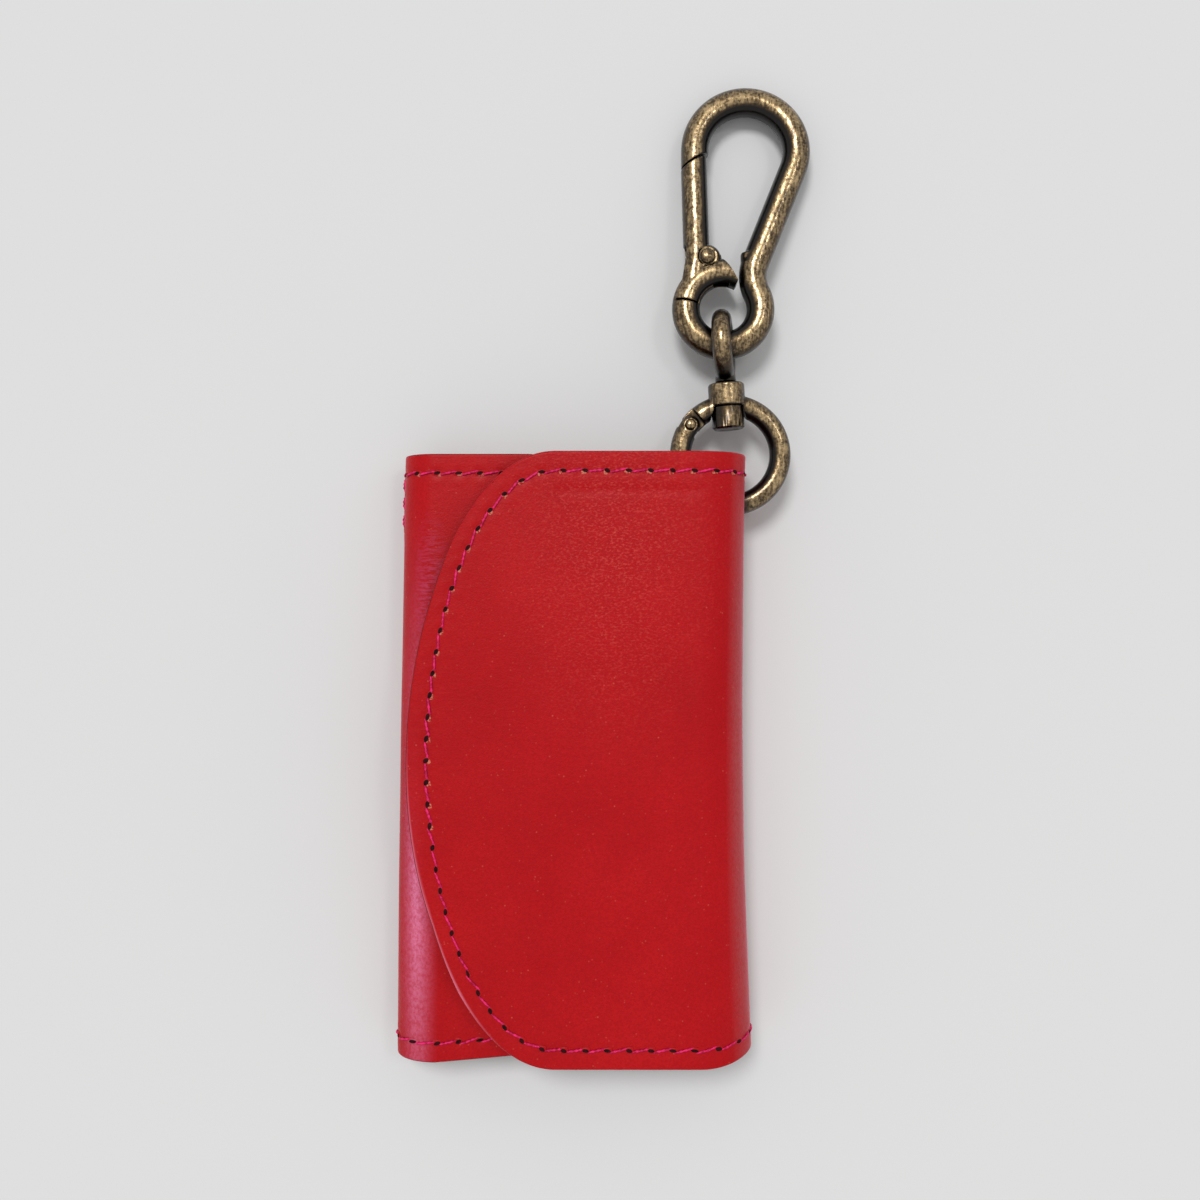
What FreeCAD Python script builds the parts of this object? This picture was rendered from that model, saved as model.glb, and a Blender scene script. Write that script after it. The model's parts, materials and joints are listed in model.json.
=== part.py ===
"""Folding leather key case with a gate ring, a swivel and a snap hook.

The case lies on its back: +X to the right, +Y towards the hook, +Z up.
The origin is the middle of the back panel's outer face. Millimetres and degrees.
"""
import FreeCAD, Part
import math
import os
import re

import Sketcher

doc = FreeCAD.newDocument("key_case")
sheet = doc.addObject("Spreadsheet::Sheet", "sizes")

SIZES = (
    # leather case
    ("case_width", 60.0), ("case_height", 105.0), ("case_depth", 16.0),
    ("leather", 1.6), ("lining", 1.0), ("flap_gap", 1.8),
    ("bend_angle", 45.0), ("bend_gap", 0.2),
    ("flap_tip_inset", 2.0), ("flap_curve", 25.0),
    ("left_flap_reach", 28.0), ("left_flap_corner", 6.0),
    # hidden snap between the flaps
    ("snap_inset", 14.5), ("socket_width", 9.0), ("socket_bore", 4.8), ("socket_depth", 1.2),
    ("socket_neck", 6.2), ("socket_floor", 0.3), ("washer_depth", 0.4),
    ("stud_width", 7.0), ("stud_flange", 0.3), ("stud_post", 3.6), ("stud_foot", 3.1), ("stud_top", 2.9),
    ("stud_rise", 1.2), ("stud_neck", 2.8),
    ("stud_cap_width", 8.0), ("stud_cap_depth", 0.6),
    # key bar and key hooks
    ("bar_x", -4.0), ("bar_inset", 3.0), ("bar_side_room", 22.0),
    ("strip_margin", 2.0), ("strip_end_margin", 1.0), ("strip_depth", 0.8),
    ("bar_height", 9.5), ("bar_wall", 0.8), ("bar_rise", 4.9), ("bar_corner", 2.0),
    ("rivet_inset", 3.0), ("rivet_width", 4.0), ("rivet_shank", 2.0), ("rivet_head", 0.7),
    ("hook_inset", 6.1), ("hook_bore", 2.0), ("hook_axis_rise", 3.3), ("neck_play", 0.05),
    ("post_head", 2.8), ("post_head_depth", 0.8),
    ("post_gap", 0.3), ("cap_width", 4.2), ("cap_length", 3.6),
    ("loop_width", 5.8), ("loop_wire", 1.2), ("loop_length", 17.0), ("loop_gap", 0.25),
    ("loop_room", 1.6),
    # gate ring
    ("ring_inset", 2.0), ("ring_above", 0.9), ("ring_radius", 8.9), ("ring_wire", 3.8), ("ring_lean", 3.5),
    ("ring_hole_room", 0.6),
    ("gate_root", 126.0), ("gate_pivot", 140.0), ("gate_end", 208.0), ("gate_scarf", 24.0),
    ("scarf_reach", 20.0), ("gate_gap", 0.3), ("gate_play", 0.15),
    ("ring_tongue", 1.2), ("ring_tongue_root", 118.0), ("ring_eye", 1.5),
    ("ring_pin", 1.1), ("ring_pin_head", 1.8), ("ring_pin_head_depth", 0.4), ("ring_slot_reach", 2.3),
    ("ring_spring_angle", 160.0), ("ring_spring_length", 3.0),
    ("spring_strip", 0.3), ("spring_roll", 0.25), ("spring_room", 0.2),
    # swivel
    ("collar_rise", 1.8), ("collar_width", 6.5), ("collar_height", 4.2), ("collar_gap", 0.3), ("shank", 3.2),
    ("shank_play", 0.06),
    ("button_width", 5.7), ("button_height", 3.8), ("button_gap", 0.15), ("button_bevel", 0.3),
    ("button_room", 0.35), ("eye_radius", 4.8), ("eye_wire", 3.4), ("eye_turn", 10.0), ("table_clear", 0.1),
    # snap hook
    ("hook_ring_radius", 6.7), ("hook_wire", 5.0), ("hook_waist_radius", 7.0), ("hook_lean", 21.8),
    ("hook_top_x", 4.3), ("hook_top_y", 29.4), ("hook_top_radius", 9.2),
    ("hook_split", 172.0), ("nose_drop", 5.0),
    ("shoulder_x", 5.2), ("shoulder_y", 5.0), ("shoulder_radius", 2.0), ("shoulder_length", 5.2),
    ("nose_x", -5.1), ("nose_y", 27.1), ("nose_slant", 28.0), ("arm_width", 4.7), ("arm_foot_x", -4.7),
    ("arm_lean", 1.3), ("neck_angle", 148.0), ("beak_start", 62.0), ("beak_x", 0.2), ("beak_y", 8.6),
    ("beak_slope", 302.0), ("beak_slot", 3.9), ("beak_slot_drop", 1.0),
    ("rivet_x", -2.9), ("rivet_y", 9.1), ("knuckle", 5.4),
    ("horn_x", 0.6), ("horn_y", 5.6), ("horn_root", 5.0), ("horn_tip", 2.4),
    ("tongue", 2.0), ("tongue_eye", 2.1), ("tongue_start", 113.0), ("tongue_web", 2.5),
    ("hook_pin", 2.0), ("hook_pin_head", 2.6), ("hook_pin_head_depth", 0.6), ("pin_recess_room", 0.45),
    ("pin_recess", 0.7), ("spring_length", 4.5),
)
NAMES = {name for name, size in SIZES}
for row, (name, size) in enumerate(SIZES, start=1):
    sheet.set(f"A{row}", name)
    sheet.set(f"B{row}", str(size))
    sheet.setAlias(f"B{row}", name)
doc.recompute()

# formulas that several pieces share
STACK = "(leather + lining)"
RIGHT_FOLD = "(case_depth / 2)"
RIGHT_X = f"(case_width / 2 - {RIGHT_FOLD})"
LEFT_DEPTH = f"(case_depth - {STACK} - flap_gap)"
LEFT_FOLD = f"({LEFT_DEPTH} / 2)"
LEFT_X = f"(-case_width / 2 + {LEFT_FOLD})"
FLAP_TIP_X = "(-case_width / 2 + flap_tip_inset)"
LEFT_EDGE_X = "(-case_width / 2 + left_flap_reach)"
SNAP_X = "(-case_width / 2 + snap_inset)"
FLAP_UNDERSIDE = f"(case_depth - {STACK})"
STRIP_TOP = f"({STACK} + strip_depth)"
BAR_TOP_Y = "(case_height / 2 - bar_inset)"
BAR_BOTTOM_Y = f"({BAR_TOP_Y} - bar_height)"
BAR_LENGTH = "(case_width - bar_side_room)"
RIVET_PITCH = f"({BAR_LENGTH} - 2 * rivet_inset)"
HOOK_ROOM = f"({BAR_LENGTH} - 2 * hook_inset)"
HOOK_PITCH = "(loop_width + loop_wire + loop_room)"
HOOK_AXIS_Z = f"({STACK} + hook_axis_rise)"
RING_X = "(case_width / 2 - ring_inset)"
RING_Y = "(case_height / 2 + ring_above)"
RING_Z = "(eye_radius + eye_wire / 2 + table_clear)"
COLLAR_TOP = "(ring_radius + collar_rise + collar_height / 2)"
COLLAR_BOTTOM = "(ring_radius + collar_rise - collar_height / 2)"
EYE_REACH = f"({COLLAR_TOP} + collar_gap + eye_radius + eye_wire / 2)"
HOOK_REACH = "(hook_ring_radius + hook_top_y + hook_top_radius)"
HOOK_TILT = f"(asin(({RING_Z} - hook_wire / 2 - table_clear) / {HOOK_REACH}))"
HOOK_X = f"({RING_X} - {EYE_REACH} * sin(ring_lean))"
HOOK_Y = f"({RING_Y} + {EYE_REACH} * cos(ring_lean) + hook_ring_radius * cos({HOOK_TILT}))"
HOOK_Z = f"({RING_Z} - hook_ring_radius * sin({HOOK_TILT}))"

X_AXIS, Y_AXIS, Z_AXIS = (1, 0, 0), (0, 1, 0), (0, 0, 1)
ORIGIN = ("0", "0", "0")
EDGE_TOLERANCE = 0.01
nodes = []


def formula(text):
    """The text with each size's name pointed at its cell."""
    return re.sub("[a-z_]+", lambda word: f"sizes.{word[0]}" if word[0] in NAMES else word[0], text)


def number(text):
    """What a formula comes to now."""
    found = sheet.evalExpression(formula(text))
    return float(getattr(found, "Value", found))


# as many key hooks as the bar has room for
HOOK_COUNT = 1 + int(number(f"{HOOK_ROOM} / {HOOK_PITCH}") + EDGE_TOLERANCE)
HOOK_ROW = f"({HOOK_PITCH} * {HOOK_COUNT - 1})"


def place(solid, at, axis=Z_AXIS, angle="0"):
    """Put a solid at a point, turned about an axis by an angle that isn't negative."""
    spot = FreeCAD.Vector(*[number(text) for text in at])
    solid.Placement = FreeCAD.Placement(spot, FreeCAD.Rotation(FreeCAD.Vector(*axis), number(angle)))
    for letter, text in zip("xyz", at):
        solid.setExpression(f"Placement.Base.{letter}", formula(text))
    if angle != "0":
        solid.setExpression("Placement.Rotation.Angle", formula(angle))
    return solid


def primitive(kind, name, at=ORIGIN, axis=Z_AXIS, angle="0", **measures):
    solid = doc.addObject(f"Part::{kind}", name)
    for size, text in measures.items():
        solid.setExpression(size, formula(text))
    return place(solid, at, axis, angle)


def fuse(name, *solids):
    joined = doc.addObject("Part::MultiFuse", name)
    joined.Shapes = list(solids)
    joined.Refine = True
    return joined


def common(name, *solids):
    shared = doc.addObject("Part::MultiCommon", name)
    shared.Shapes = list(solids)
    return shared


def cut(name, base, *tools):
    carved = doc.addObject("Part::Cut", name)
    carved.Base = base
    carved.Tool = tools[0] if len(tools) == 1 else fuse(f"{name}_tools", *tools)
    return carved


def node(label, solid):
    """Name a finished sub-part."""
    solid.Label = label
    nodes.append(solid)
    return solid


def in_ring_frame(solid):
    return place(solid, (RING_X, RING_Y, RING_Z), Z_AXIS, "ring_lean")


def in_hook_frame(solid):
    return place(solid, (HOOK_X, HOOK_Y, HOOK_Z), (-1, 0, 0), HOOK_TILT)


def half_space(name, x, y, angle, low, reach):
    """A block above the line through x, y at an angle, raised along its normal by low."""
    corner_x = f"({x} - {reach} * cos({angle}) - ({low}) * sin({angle}))"
    corner_y = f"({y} - {reach} * sin({angle}) + ({low}) * cos({angle}))"
    return primitive("Box", name, (corner_x, corner_y, f"(-{reach})"), Z_AXIS, angle,
                     Length=f"2 * {reach}", Width=reach, Height=f"2 * {reach}")


def sketch_on(body, plane, name):
    sketch = body.newObject("Sketcher::SketchObject", name)
    origin_plane = next(part for part in body.Origin.OriginFeatures if part.Role == plane)
    sketch.AttachmentSupport = [(origin_plane, "")]
    sketch.MapMode = "FlatFace"
    return sketch


def outline(sketch, points):
    """A closed outline of straight lines whose corners are pairs of formulas."""
    spots = [FreeCAD.Vector(number(x), number(y), 0) for x, y in points]
    for index, spot in enumerate(spots):
        sketch.addGeometry(Part.LineSegment(spot, spots[(index + 1) % len(spots)]), False)
    for index, (x, y) in enumerate(points):
        before = (index - 1) % len(points)
        sketch.addConstraint(Sketcher.Constraint("Coincident", before, 2, index, 1))
        for kind, text, axis_line in (("DistanceX", x, -2), ("DistanceY", y, -1)):
            if text == "0":
                sketch.addConstraint(Sketcher.Constraint("PointOnObject", index, 1, axis_line))
                continue
            held = sketch.addConstraint(Sketcher.Constraint(kind, -1, 1, index, 1, number(text)))
            sketch.setExpression(f"Constraints[{held}]", formula(text))


def turned(name, points):
    """A body turned about its own Z from an outline of radius and height pairs."""
    body = doc.addObject("PartDesign::Body", name)
    sketch = sketch_on(body, "XZ_Plane", f"{name}_outline")
    outline(sketch, points)
    revolve = body.newObject("PartDesign::Revolution", f"{name}_revolve")
    revolve.Profile = sketch
    revolve.ReferenceAxis = (sketch, ["V_Axis"])
    revolve.Angle = 360
    return body


def plate(name, low, high, bottom, depth):
    """A body padded up from a rectangle between two corners."""
    body = doc.addObject("PartDesign::Body", name)
    sketch = sketch_on(body, "XY_Plane", f"{name}_outline")
    outline(sketch, [low, (high[0], low[1]), high, (low[0], high[1])])
    pad = body.newObject("PartDesign::Pad", f"{name}_pad")
    pad.Profile = sketch
    pad.setExpression("Length", formula(depth))
    body.setExpression("Placement.Base.z", formula(bottom))
    doc.recompute()
    return body, pad


def round_corners(body, base, radius, wanted):
    """Fillet the edges of a body's feature that a test picks."""
    names = [f"Edge{index}" for index, edge in enumerate(base.Shape.Edges, start=1) if wanted(edge)]
    fillet = body.newObject("PartDesign::Fillet", f"{body.Name}_rounding")
    fillet.Base = (base, names)
    fillet.setExpression("Radius", formula(radius))
    return fillet


def runs_along(edge, axis):
    """Whether an edge is straight and parallel to an axis."""
    ends = [vertex.Point for vertex in edge.Vertexes]
    if len(ends) != 2 or not isinstance(edge.Curve, Part.Line):
        return False
    return (ends[1] - ends[0]).normalize().cross(FreeCAD.Vector(*axis)).Length < EDGE_TOLERANCE


# the three leather panels and their linings
def fold_wall(name, x, z, radius, wall, start, sweep):
    """Part of a round fold along Y, from a start angle above +X."""
    solids = []
    for part, size, angle in (("outer", radius, sweep), ("inner", f"({radius} - {wall})", "360")):
        solid = primitive("Cylinder", f"{name}_{part}", (x, "case_height / 2", z), Radius=size,
                          Height="case_height", Angle=angle)
        stand = FreeCAD.Rotation(FreeCAD.Vector(*X_AXIS), 90)
        turn = FreeCAD.Rotation(FreeCAD.Vector(*Z_AXIS), number(start))
        solid.Placement.Rotation = stand.multiply(turn)
        solids.append(solid)
    return cut(name, *solids)


def bend_share(radius):
    """The angle that the gap at a bend takes on a fold."""
    return f"(bend_gap / {radius} * 180 / pi)"


def channel(name, depth, wall):
    """Back panel and both folds up to their bends, one layer of it."""
    back = primitive("Box", f"{name}_back", (LEFT_X, "-case_height / 2", depth),
                     Length=f"{RIGHT_X} - {LEFT_X}", Width="case_height", Height=wall)
    right_share, left_share = bend_share(RIGHT_FOLD), bend_share(LEFT_FOLD)
    right = fold_wall(f"{name}_right", RIGHT_X, RIGHT_FOLD, f"({RIGHT_FOLD} - {depth})", wall, "-90",
                      f"90 + bend_angle - {right_share}")
    left = fold_wall(f"{name}_left", LEFT_X, LEFT_FOLD, f"({LEFT_FOLD} - {depth})", wall,
                     f"180 - bend_angle + {left_share}", f"90 + bend_angle - {left_share}")
    wall_x = f"({RIGHT_X} + sqrt(({RIGHT_FOLD} - {STACK} / 2) ^ 2 - ({RIGHT_FOLD} - {RING_Z}) ^ 2))"
    wall_y = f"({RING_Y} - sqrt(ring_radius ^ 2 - ({wall_x} - {RING_X}) ^ 2))"
    hole = primitive("Cylinder", f"{name}_ring_hole", (RIGHT_X, wall_y, RING_Z), Y_AXIS, "90",
                     Radius="ring_wire / 2 + ring_hole_room", Height=f"{RIGHT_FOLD} + ring_wire")
    return cut(name, fuse(f"{name}_whole", back, right, left), hole)


def front_flap(name, depth, wall, snap_hole, snap_hole_top):
    """Front flap from its bend to the half ellipse of its free edge, one layer of it."""
    bottom = f"(case_depth - {depth} - {wall})"
    curve_x = f"({FLAP_TIP_X} + flap_curve)"
    bend = fold_wall(f"{name}_bend", RIGHT_X, RIGHT_FOLD, f"({RIGHT_FOLD} - {depth})", wall, "bend_angle",
                     "90 - bend_angle")
    flat = primitive("Box", f"{name}_flat", (curve_x, "-case_height / 2", bottom),
                     Length=f"{RIGHT_X} - {curve_x}", Width="case_height", Height=wall)
    oval = primitive("Ellipse", f"{name}_oval", (curve_x, "0", bottom), Z_AXIS, "90",
                     MajorRadius="case_height / 2", MinorRadius="flap_curve")
    disc = doc.addObject("Part::Extrusion", f"{name}_disc")
    disc.Base = oval
    disc.DirMode = "Custom"
    disc.Dir = FreeCAD.Vector(*Z_AXIS)
    disc.setExpression("LengthFwd", formula(wall))
    disc.Solid = True
    left_half = primitive("Box", f"{name}_left_half", (FLAP_TIP_X, "-case_height / 2", bottom),
                          Length="flap_curve", Width="case_height", Height=wall)
    tip = common(f"{name}_tip", disc, left_half)
    hole = primitive("Cylinder", f"{name}_snap_hole", (SNAP_X, "0", bottom), Radius=f"{snap_hole} / 2",
                     Height=snap_hole_top)
    return cut(name, fuse(f"{name}_whole", bend, flat, tip), hole)


def left_flap(name, depth, wall):
    """Left flap from its bend to a straight free edge with round corners, one layer of it."""
    bend = fold_wall(f"{name}_bend", LEFT_X, LEFT_FOLD, f"({LEFT_FOLD} - {depth})", wall, "90",
                     "90 - bend_angle")
    flat, pad = plate(f"{name}_flat", (LEFT_X, "-case_height / 2"), (LEFT_EDGE_X, "case_height / 2"),
                      f"({LEFT_DEPTH} - {depth} - {wall})", wall)
    edge_x = number(LEFT_EDGE_X) - EDGE_TOLERANCE
    round_corners(flat, pad, "left_flap_corner",
                  lambda edge: runs_along(edge, Z_AXIS) and edge.CenterOfMass.x > edge_x)
    hole = primitive("Cylinder", f"{name}_snap_hole", (SNAP_X, "0", "0"), Radius="stud_neck / 2",
                     Height="case_depth")
    return cut(name, fuse(f"{name}_whole", bend, flat), hole)


node("back_leather", channel("back_leather_layer", "0", "leather"))
node("back_lining", channel("back_lining_layer", "leather", "lining"))
node("front_flap_leather", front_flap("front_leather_layer", "0", "leather", "socket_width", "washer_depth"))
node("front_flap_lining", front_flap("front_lining_layer", "leather", "lining", "socket_neck", "lining"))
node("left_flap_leather", left_flap("left_leather_layer", "0", "leather"))
node("left_flap_lining", left_flap("left_lining_layer", "leather", "lining"))


# hidden snap: socket under the front flap, stud on the left flap
def snap_pieces():
    bore, neck, wide = "socket_bore / 2", "socket_neck / 2", "socket_width / 2"
    back = "(lining + washer_depth)"
    socket = turned("socket", [(bore, "-socket_depth"), (wide, "-socket_depth"), (wide, "0"), (neck, "0"),
                               (neck, back), ("0", back), ("0", f"{back} - socket_floor"),
                               (bore, f"{back} - socket_floor")])
    node("snap_socket", place(socket, (SNAP_X, "0", FLAP_UNDERSIDE)))
    washer = turned("washer", [(neck, "0"), (wide, "0"), (wide, "washer_depth"), (neck, "washer_depth")])
    node("snap_socket_washer", place(washer, (SNAP_X, "0", f"{FLAP_UNDERSIDE} + lining")))
    flange, post, stem = "stud_width / 2", "stud_post / 2", "stud_neck / 2"
    post_top = "stud_flange + stud_rise"
    waist = "stud_flange + stud_rise / 2"
    stud = turned("stud", [("0", f"-({STACK})"), (stem, f"-({STACK})"), (stem, "0"), (flange, "0"),
                           (flange, "stud_flange"), ("stud_foot / 2", "stud_flange"), (post, waist),
                           ("stud_top / 2", post_top), ("0", post_top)])
    node("snap_stud", place(stud, (SNAP_X, "0", LEFT_DEPTH)))
    rim, edge = "stud_cap_width / 2", "stud_cap_depth / 2"
    cap = turned("stud_cap", [("0", "-stud_cap_depth"), (f"{rim} - {edge}", "-stud_cap_depth"),
                              (rim, f"-{edge}"), (rim, "0"), ("0", "0")])
    node("snap_stud_cap", place(cap, (SNAP_X, "0", f"{LEFT_DEPTH} - {STACK}")))


snap_pieces()


# key bar on its leather strip
def key_bar():
    middle = f"({BAR_BOTTOM_Y} + bar_height / 2)"
    half_strip = f"({BAR_LENGTH} / 2 + strip_margin)"
    strip, pad = plate("strip", (f"-{half_strip}", f"{BAR_BOTTOM_Y} - strip_end_margin"),
                       (half_strip, f"{BAR_TOP_Y} + strip_end_margin"), STACK, "strip_depth")
    strip.setExpression("Placement.Base.x", formula("bar_x"))
    round_corners(strip, pad, "bar_corner", lambda edge: runs_along(edge, Z_AXIS))
    rivet_holes(strip, middle)
    node("key_bar_strip", strip)

    bar = doc.addObject("PartDesign::Body", "bar")
    profile = sketch_on(bar, "YZ_Plane", "bar_profile")
    lip = f"({BAR_BOTTOM_Y} + bar_wall)"
    face, crest = f"{STRIP_TOP} + bar_wall", f"{STRIP_TOP} + bar_rise"
    outline(profile, [(BAR_BOTTOM_Y, STRIP_TOP), (BAR_TOP_Y, STRIP_TOP), (BAR_TOP_Y, face), (lip, face),
                      (lip, crest), (BAR_BOTTOM_Y, crest)])
    bent = bar.newObject("PartDesign::Pad", "bar_pad")
    bent.Profile = profile
    bent.Midplane = True
    bent.setExpression("Length", formula(BAR_LENGTH))
    doc.recompute()
    end_x, lip_y = number(f"{BAR_LENGTH} / 2"), number(f"{BAR_BOTTOM_Y} + bar_wall")
    round_corners(bar, bent, "bar_corner", lambda edge: is_bar_corner(edge, end_x, lip_y))
    rivet_holes(bar, middle)
    hook_holes = sketch_on(bar, "XZ_Plane", "hook_hole_places")
    bore_hole(hook_holes, f"-{HOOK_ROW} / 2", HOOK_AXIS_Z, "hook_bore / 2")
    first = through(bar, hook_holes, "hook_hole")
    row = bar.newObject("PartDesign::LinearPattern", "hook_hole_row")
    row.Originals = [first]
    row.Direction = (hook_holes, ["H_Axis"])
    row.setExpression("Length", formula(HOOK_ROW))
    row.Occurrences = HOOK_COUNT
    bar.Tip = row
    bar.setExpression("Placement.Base.x", formula("bar_x"))
    node("key_bar_plate", bar)

    rivets = doc.addObject("Part::Compound", "rivets")
    seat = "(strip_depth + bar_wall)"
    crown = f"({seat} + rivet_head)"
    links = []
    for side, name in (("-", "left"), ("", "right")):
        rivet = turned(f"rivet_{name}", [("0", "0"), ("rivet_shank / 2", "0"), ("rivet_shank / 2", seat),
                                         ("rivet_width / 2", seat), ("rivet_width / 2 - rivet_head", crown),
                                         ("0", crown)])
        links.append(place(rivet, (f"bar_x {side or '+'} {RIVET_PITCH} / 2", middle, STACK)))
    rivets.Links = links
    node("key_bar_rivets", rivets)


def is_bar_corner(edge, end_x, lip_y):
    """Whether an edge is one of the bar's four free corners: two on the plate, two on the lip."""
    middle = edge.CenterOfMass
    on_plate = runs_along(edge, Z_AXIS) and middle.y > lip_y + EDGE_TOLERANCE
    on_lip = runs_along(edge, Y_AXIS) and middle.y < lip_y and middle.z > number(STRIP_TOP) + EDGE_TOLERANCE
    return abs(abs(middle.x) - end_x) < EDGE_TOLERANCE and (on_plate or on_lip)


def rivet_holes(body, middle):
    """Two holes for the bar's rivets."""
    doc.recompute()
    places = sketch_on(body, "XY_Plane", f"{body.Name}_rivet_places")
    for side in ("-", ""):
        bore_hole(places, f"{side}{RIVET_PITCH} / 2", middle, "rivet_shank / 2")
    through(body, places, f"{body.Name}_rivet_holes")


def bore_hole(sketch, x, y, radius):
    """A circle with its centre and radius held."""
    circle = sketch.addGeometry(Part.Circle(FreeCAD.Vector(number(x), number(y), 0), FreeCAD.Vector(*Z_AXIS),
                                            number(radius)), False)
    for kind, text in (("DistanceX", x), ("DistanceY", y)):
        held = sketch.addConstraint(Sketcher.Constraint(kind, -1, 1, circle, 3, number(text)))
        sketch.setExpression(f"Constraints[{held}]", formula(text))
    held = sketch.addConstraint(Sketcher.Constraint("Radius", circle, number(radius)))
    sketch.setExpression(f"Constraints[{held}]", formula(radius))


def through(body, sketch, name):
    """A pocket that goes right through, both ways."""
    pocket = body.newObject("PartDesign::Pocket", name)
    pocket.Profile = sketch
    pocket.Type = "ThroughAll"
    pocket.Midplane = True
    doc.recompute()
    return pocket


key_bar()


# key hooks: a turned post through the bar's lip, and a sprung wire loop that its cap holds
def key_hook(index):
    x = f"(bar_x + {HOOK_ROW} * (({index} - 1) / {HOOK_COUNT - 1} - 1 / 2))"
    neck, cap, head = "(hook_bore / 2 - neck_play)", "cap_width / 2", "post_head / 2"
    lip_back = "bar_wall + post_gap"
    post = turned(f"post_{index}", [
        ("0", "-cap_length"), (f"{cap} - post_gap", "-cap_length"), (cap, "-cap_length + post_gap"),
        (cap, "-post_gap * 2"), (f"{cap} - post_gap", "-post_gap"), (neck, "-post_gap"), (neck, lip_back),
        (head, lip_back), (head, f"{lip_back} + post_head_depth"), ("0", f"{lip_back} + post_head_depth")])
    place(post, (x, BAR_BOTTOM_Y, HOOK_AXIS_Z), (-1, 0, 0), "90")

    half, wire = "loop_width / 2", "loop_wire / 2"
    crown_y = f"({BAR_BOTTOM_Y} - cap_length / 2 - loop_width / 2)"
    foot_y = f"({crown_y} - loop_length)"
    free_end = f"(acos((cap_width / 2 + loop_gap) / ({half})))"
    bend = dict(Radius1=half, Radius2=wire)
    crown, foot = (x, crown_y, HOOK_AXIS_Z), (x, foot_y, HOOK_AXIS_Z)
    pieces = [primitive("Torus", f"loop_{index}_held", crown, Z_AXIS, "90", Angle3="90", **bend),
              primitive("Torus", f"loop_{index}_foot", foot, Z_AXIS, "180", Angle3="180", **bend),
              primitive("Torus", f"loop_{index}_free", crown, Angle3=free_end, **bend)]
    for side, name in (("-", "left"), ("+", "right")):
        side_foot = (f"{x} {side} {half}", foot_y, HOOK_AXIS_Z)
        pieces.append(primitive("Cylinder", f"loop_{index}_{name}", side_foot, (-1, 0, 0), "90", Radius=wire,
                                Height="loop_length"))
    node(f"key_loop_{index}", fuse(f"loop_{index}", *pieces))
    bore = primitive("Torus", f"post_{index}_bore", crown, Z_AXIS, "90", Angle3="90", **bend)
    node(f"key_hook_{index}", cut(f"hook_{index}", post, bore))


for hook_index in range(1, HOOK_COUNT + 1):
    key_hook(hook_index)


# gate ring, in its own frame: centre at the origin, swivel on +Y
def ring_arc(name, start, end):
    return primitive("Torus", name, ORIGIN, Z_AXIS, start, Radius1="ring_radius", Radius2="ring_wire / 2",
                     Angle3=f"{end} - {start}")


def slab(name, x, y, reach, thick):
    """A square slab about a point, halfway up the wire."""
    return primitive("Box", name, (f"{x} - {reach}", f"{y} - {reach}", f"-({thick}) / 2"),
                     Length=f"2 * {reach}", Width=f"2 * {reach}", Height=thick)


def pin(name, shank, head, head_depth, wire):
    """A rivet through a wire, headed at both sides."""
    half, under = f"({wire}) / 2", f"(({wire}) / 2 - {head_depth})"
    rim = f"({head}) / 2"
    crown = f"({rim} - {head_depth} / 2)"
    return turned(name, [("0", f"-{half}"), (crown, f"-{half}"), (rim, f"-({half} - {head_depth} / 2)"),
                         (rim, f"-{under}"), (f"({shank}) / 2", f"-{under}"), (f"({shank}) / 2", under),
                         (rim, under), (rim, f"({half} - {head_depth} / 2)"), (crown, half), ("0", half)])


def recesses(name, x, y, radius, floor, reach):
    """Round recesses for a pin's two heads."""
    return [primitive("Cylinder", f"{name}_{side}", (x, y, low), Radius=radius, Height=reach)
            for side, low in (("upper", floor), ("lower", f"-({floor}) - {reach}"))]


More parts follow.
